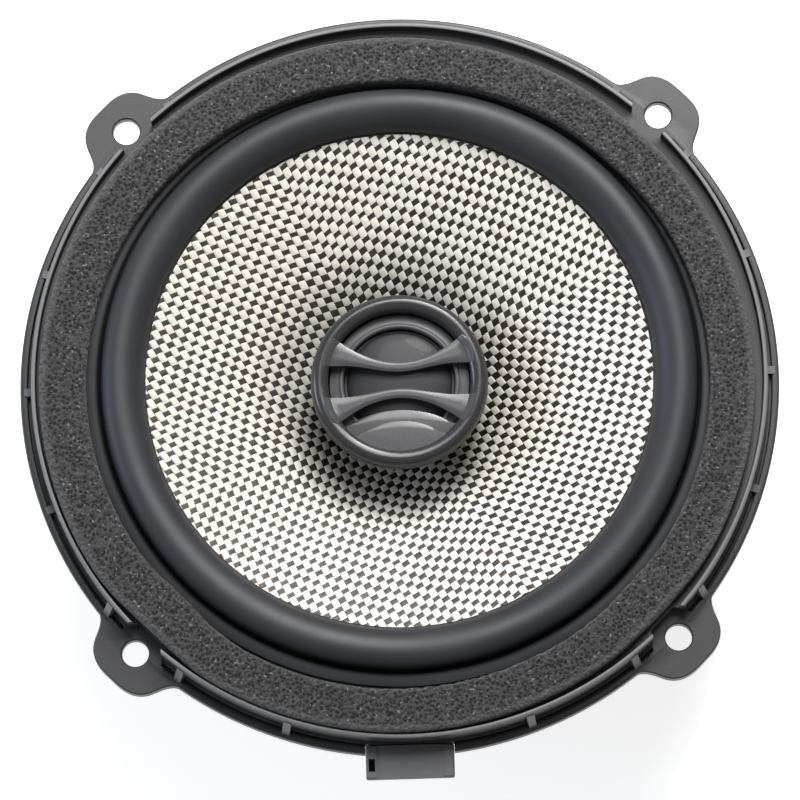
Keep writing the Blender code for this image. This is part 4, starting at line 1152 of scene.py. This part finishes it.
def dress_frame_nodes(looks):
    """Gives the CAD nodes that stay their materials, and eases their edges or rounds their wires."""
    for name, (material, finish) in looks.items():
        node = nodes[name]
        node.data.materials.clear()
        node.data.materials.append(material)
        if finish == "wire":
            smooth = node.modifiers.new("Round", "SUBSURF")
            smooth.levels = smooth.render_levels = 2
        elif finish:
            bevel = node.modifiers.new("Eased edges", "BEVEL")
            bevel.width = finish * MM
            bevel.segments = 2
            bevel.limit_method = "ANGLE"
            bevel.angle_limit = math.radians(40)
            bevel.harden_normals = True


# ---------------------------------------------------------------- studio


def build_floor():
    look = Look("floor", 0.9)
    look.colour(look.shades(look.noise(4, 2), (0.3, grey(0.93)), (0.7, grey(0.96))))
    look.shader.inputs["Emission Color"].default_value = (1, 1, 1, 1)
    look.shader.inputs["Emission Strength"].default_value = 0.68
    size, level = 3000, -FLANGE_BACK - 0.2
    corners = [(-size, -size, level), (size, -size, level), (size, size, level), (-size, size, level)]
    floor = new_piece("floor", corners, [(0, 1, 2, 3)], look.material)


def area_light(name, place, target, size, power, colour=(1, 1, 1)):
    light = bpy.data.lights.new(name, "AREA")
    light.shape = "DISK"
    light.size = size
    light.energy = power
    light.color = colour
    obj = placed(name, light)
    obj.location = place
    obj.rotation_euler = (Vector(target) - Vector(place)).to_track_quat("-Z", "Y").to_euler()


def build_light():
    scene = bpy.context.scene
    world = scene.world or bpy.data.worlds.new("studio")
    scene.world = world
    world.use_nodes = True
    background = world.node_tree.nodes["Background"]
    background.inputs["Color"].default_value = (1.0, 1.0, 1.0, 1)
    background.inputs["Strength"].default_value = 0.25
    area_light("top", (0.12, 0.86, 1.42), (0, 0, 0.05), 0.9, 19.0)
    area_light("key", (0.14, 0.42, 0.46), (0, 0.05, 0.05), 0.2, 2.1, (1.0, 0.99, 0.97))
    area_light("window", (-0.9, 0.12, 0.45), (0, 0, 0.05), 0.4, 3.2, (0.66, 0.78, 1.0))
    scene.view_settings.view_transform = "Standard"


def build_camera():
    """Camera above the speaker, tipped a little towards the plug's side and turned a few degrees."""
    azimuth, elevation, roll = math.radians(-2.135), math.radians(76.035), math.radians(-3.829)
    distance = 1.4418
    forward = Vector((
        math.sin(azimuth) * math.cos(elevation), math.cos(azimuth) * math.cos(elevation), -math.sin(elevation)
    ))
    level = Vector((math.cos(azimuth), -math.sin(azimuth), 0))
    upright = level.cross(forward)
    right = level * math.cos(roll) + upright * math.sin(roll)
    up = upright * math.cos(roll) - level * math.sin(roll)
    lens = bpy.data.cameras.new("camera")
    lens.sensor_width = 36.0
    lens.lens = 265.8
    lens.shift_x = 0.0005
    lens.shift_y = -0.0195
    camera = placed("camera", lens)
    target = Vector((0, 0, FLANGE_BACK * MM))
    turn = Matrix((right, up, -forward)).transposed().to_4x4()
    camera.matrix_world = Matrix.Translation(target - forward * distance) @ turn
    bpy.context.scene.camera = camera


def main():
    # The top edge of the rim gets a painted highlight.
    charcoal = moulded_plastic("frame_plastic", 0.036, 0.4, painted_highlight_z=RIM_Z - 0.35)
    rib = moulded_plastic("rib_plastic", 0.15, 0.6)
    build_frame(charcoal, rib)
    build_foam(foam_look())
    build_surround(rubber_look())
    light = yarn_look("light_yarn", (0.84, 0.79, 0.68), (1.0, 0.975, 0.90), 0.32)
    dark = yarn_look("dark_yarn", (0.011, 0.007, 0.006), (0.078, 0.052, 0.043), 0.38)
    build_cone(cloth_back_look(), light, dark)
    satin = moulded_plastic("grille_plastic", 0.036, 0.24, 0.010)
    # The bars and the panel take a paler copy of the grille's plastic: painted light for the overhead light
    # that they catch.
    lit_bar_satin = moulded_plastic("bar_plastic", 0.07, 0.27, 0.010)
    pod = moulded_plastic("pod_plastic", 0.04, 0.42, 0.02)
    face = moulded_plastic("face_ring_plastic", 0.10, 0.36, 0.010)
    build_tweeter(satin, lit_bar_satin, pod, face, silk_look())
    build_spider(pressed_cloth_look())
    build_leads(braid_look())
    steel = turned_metal_look("plated_steel", (0.40, 0.40, 0.39), 0.34)
    build_motor(steel, ferrite_look())
    red = insulation_look("red_insulation", (0.55, 0.03, 0.02))
    black = insulation_look("black_insulation", (0.03, 0.03, 0.03))
    brass = metal_look("brass", (0.80, 0.60, 0.28), 0.28)
    zinc = metal_look("zinc_screw", (0.62, 0.60, 0.52), 0.32)
    small_steel = metal_look("tweeter_steel", (0.6, 0.6, 0.6), 0.3)
    winding = winding_look("copper")
    looks = {
        "voice_coil_former": (film_look("former_film", (0.30, 0.13, 0.03), (0.50, 0.25, 0.07)), 0),
        "voice_coil_winding": (winding, 0),
        "pole_yoke": (steel, 0.3),
        "tweeter_post": (moulded_plastic("post_plastic", 0.05, 0.5), 0.2),
        "tweeter_voice_coil": (winding, 0),
        "tweeter_washer": (small_steel, 0.15),
        "tweeter_magnet": (metal_look("neodymium", (0.72, 0.72, 0.72), 0.2), 0.2),
        "tweeter_yoke": (small_steel, 0.2),
        "connector_housing": (moulded_plastic("plug_plastic", 0.10, 0.42, 0.02), 0.15),
        "terminal_board": (film_look("board", (0.10, 0.05, 0.02), (0.22, 0.12, 0.05), 0.5), 0.1),
        "capacitor": (film_look("capacitor_film", (0.30, 0.22, 0.02), (0.50, 0.38, 0.05)), 0.1),
        "capacitor_wire": (red, "wire"),
    }
    for pole, insulation in (("negative", black), ("positive", red)):
        looks[f"connector_blade_{pole}"] = (brass, 0.12)
        looks[f"terminal_lug_{pole}"] = (brass, 0.1)
        looks[f"supply_wire_{pole}"] = (insulation, "wire")
        looks[f"tweeter_wire_{pole}"] = (insulation, "wire")
    looks.update({f"basket_screw_{i}": (zinc, 0.1) for i in range(1, 5)})
    dress_frame_nodes(looks)
    build_floor()
    build_light()
    build_camera()


main()
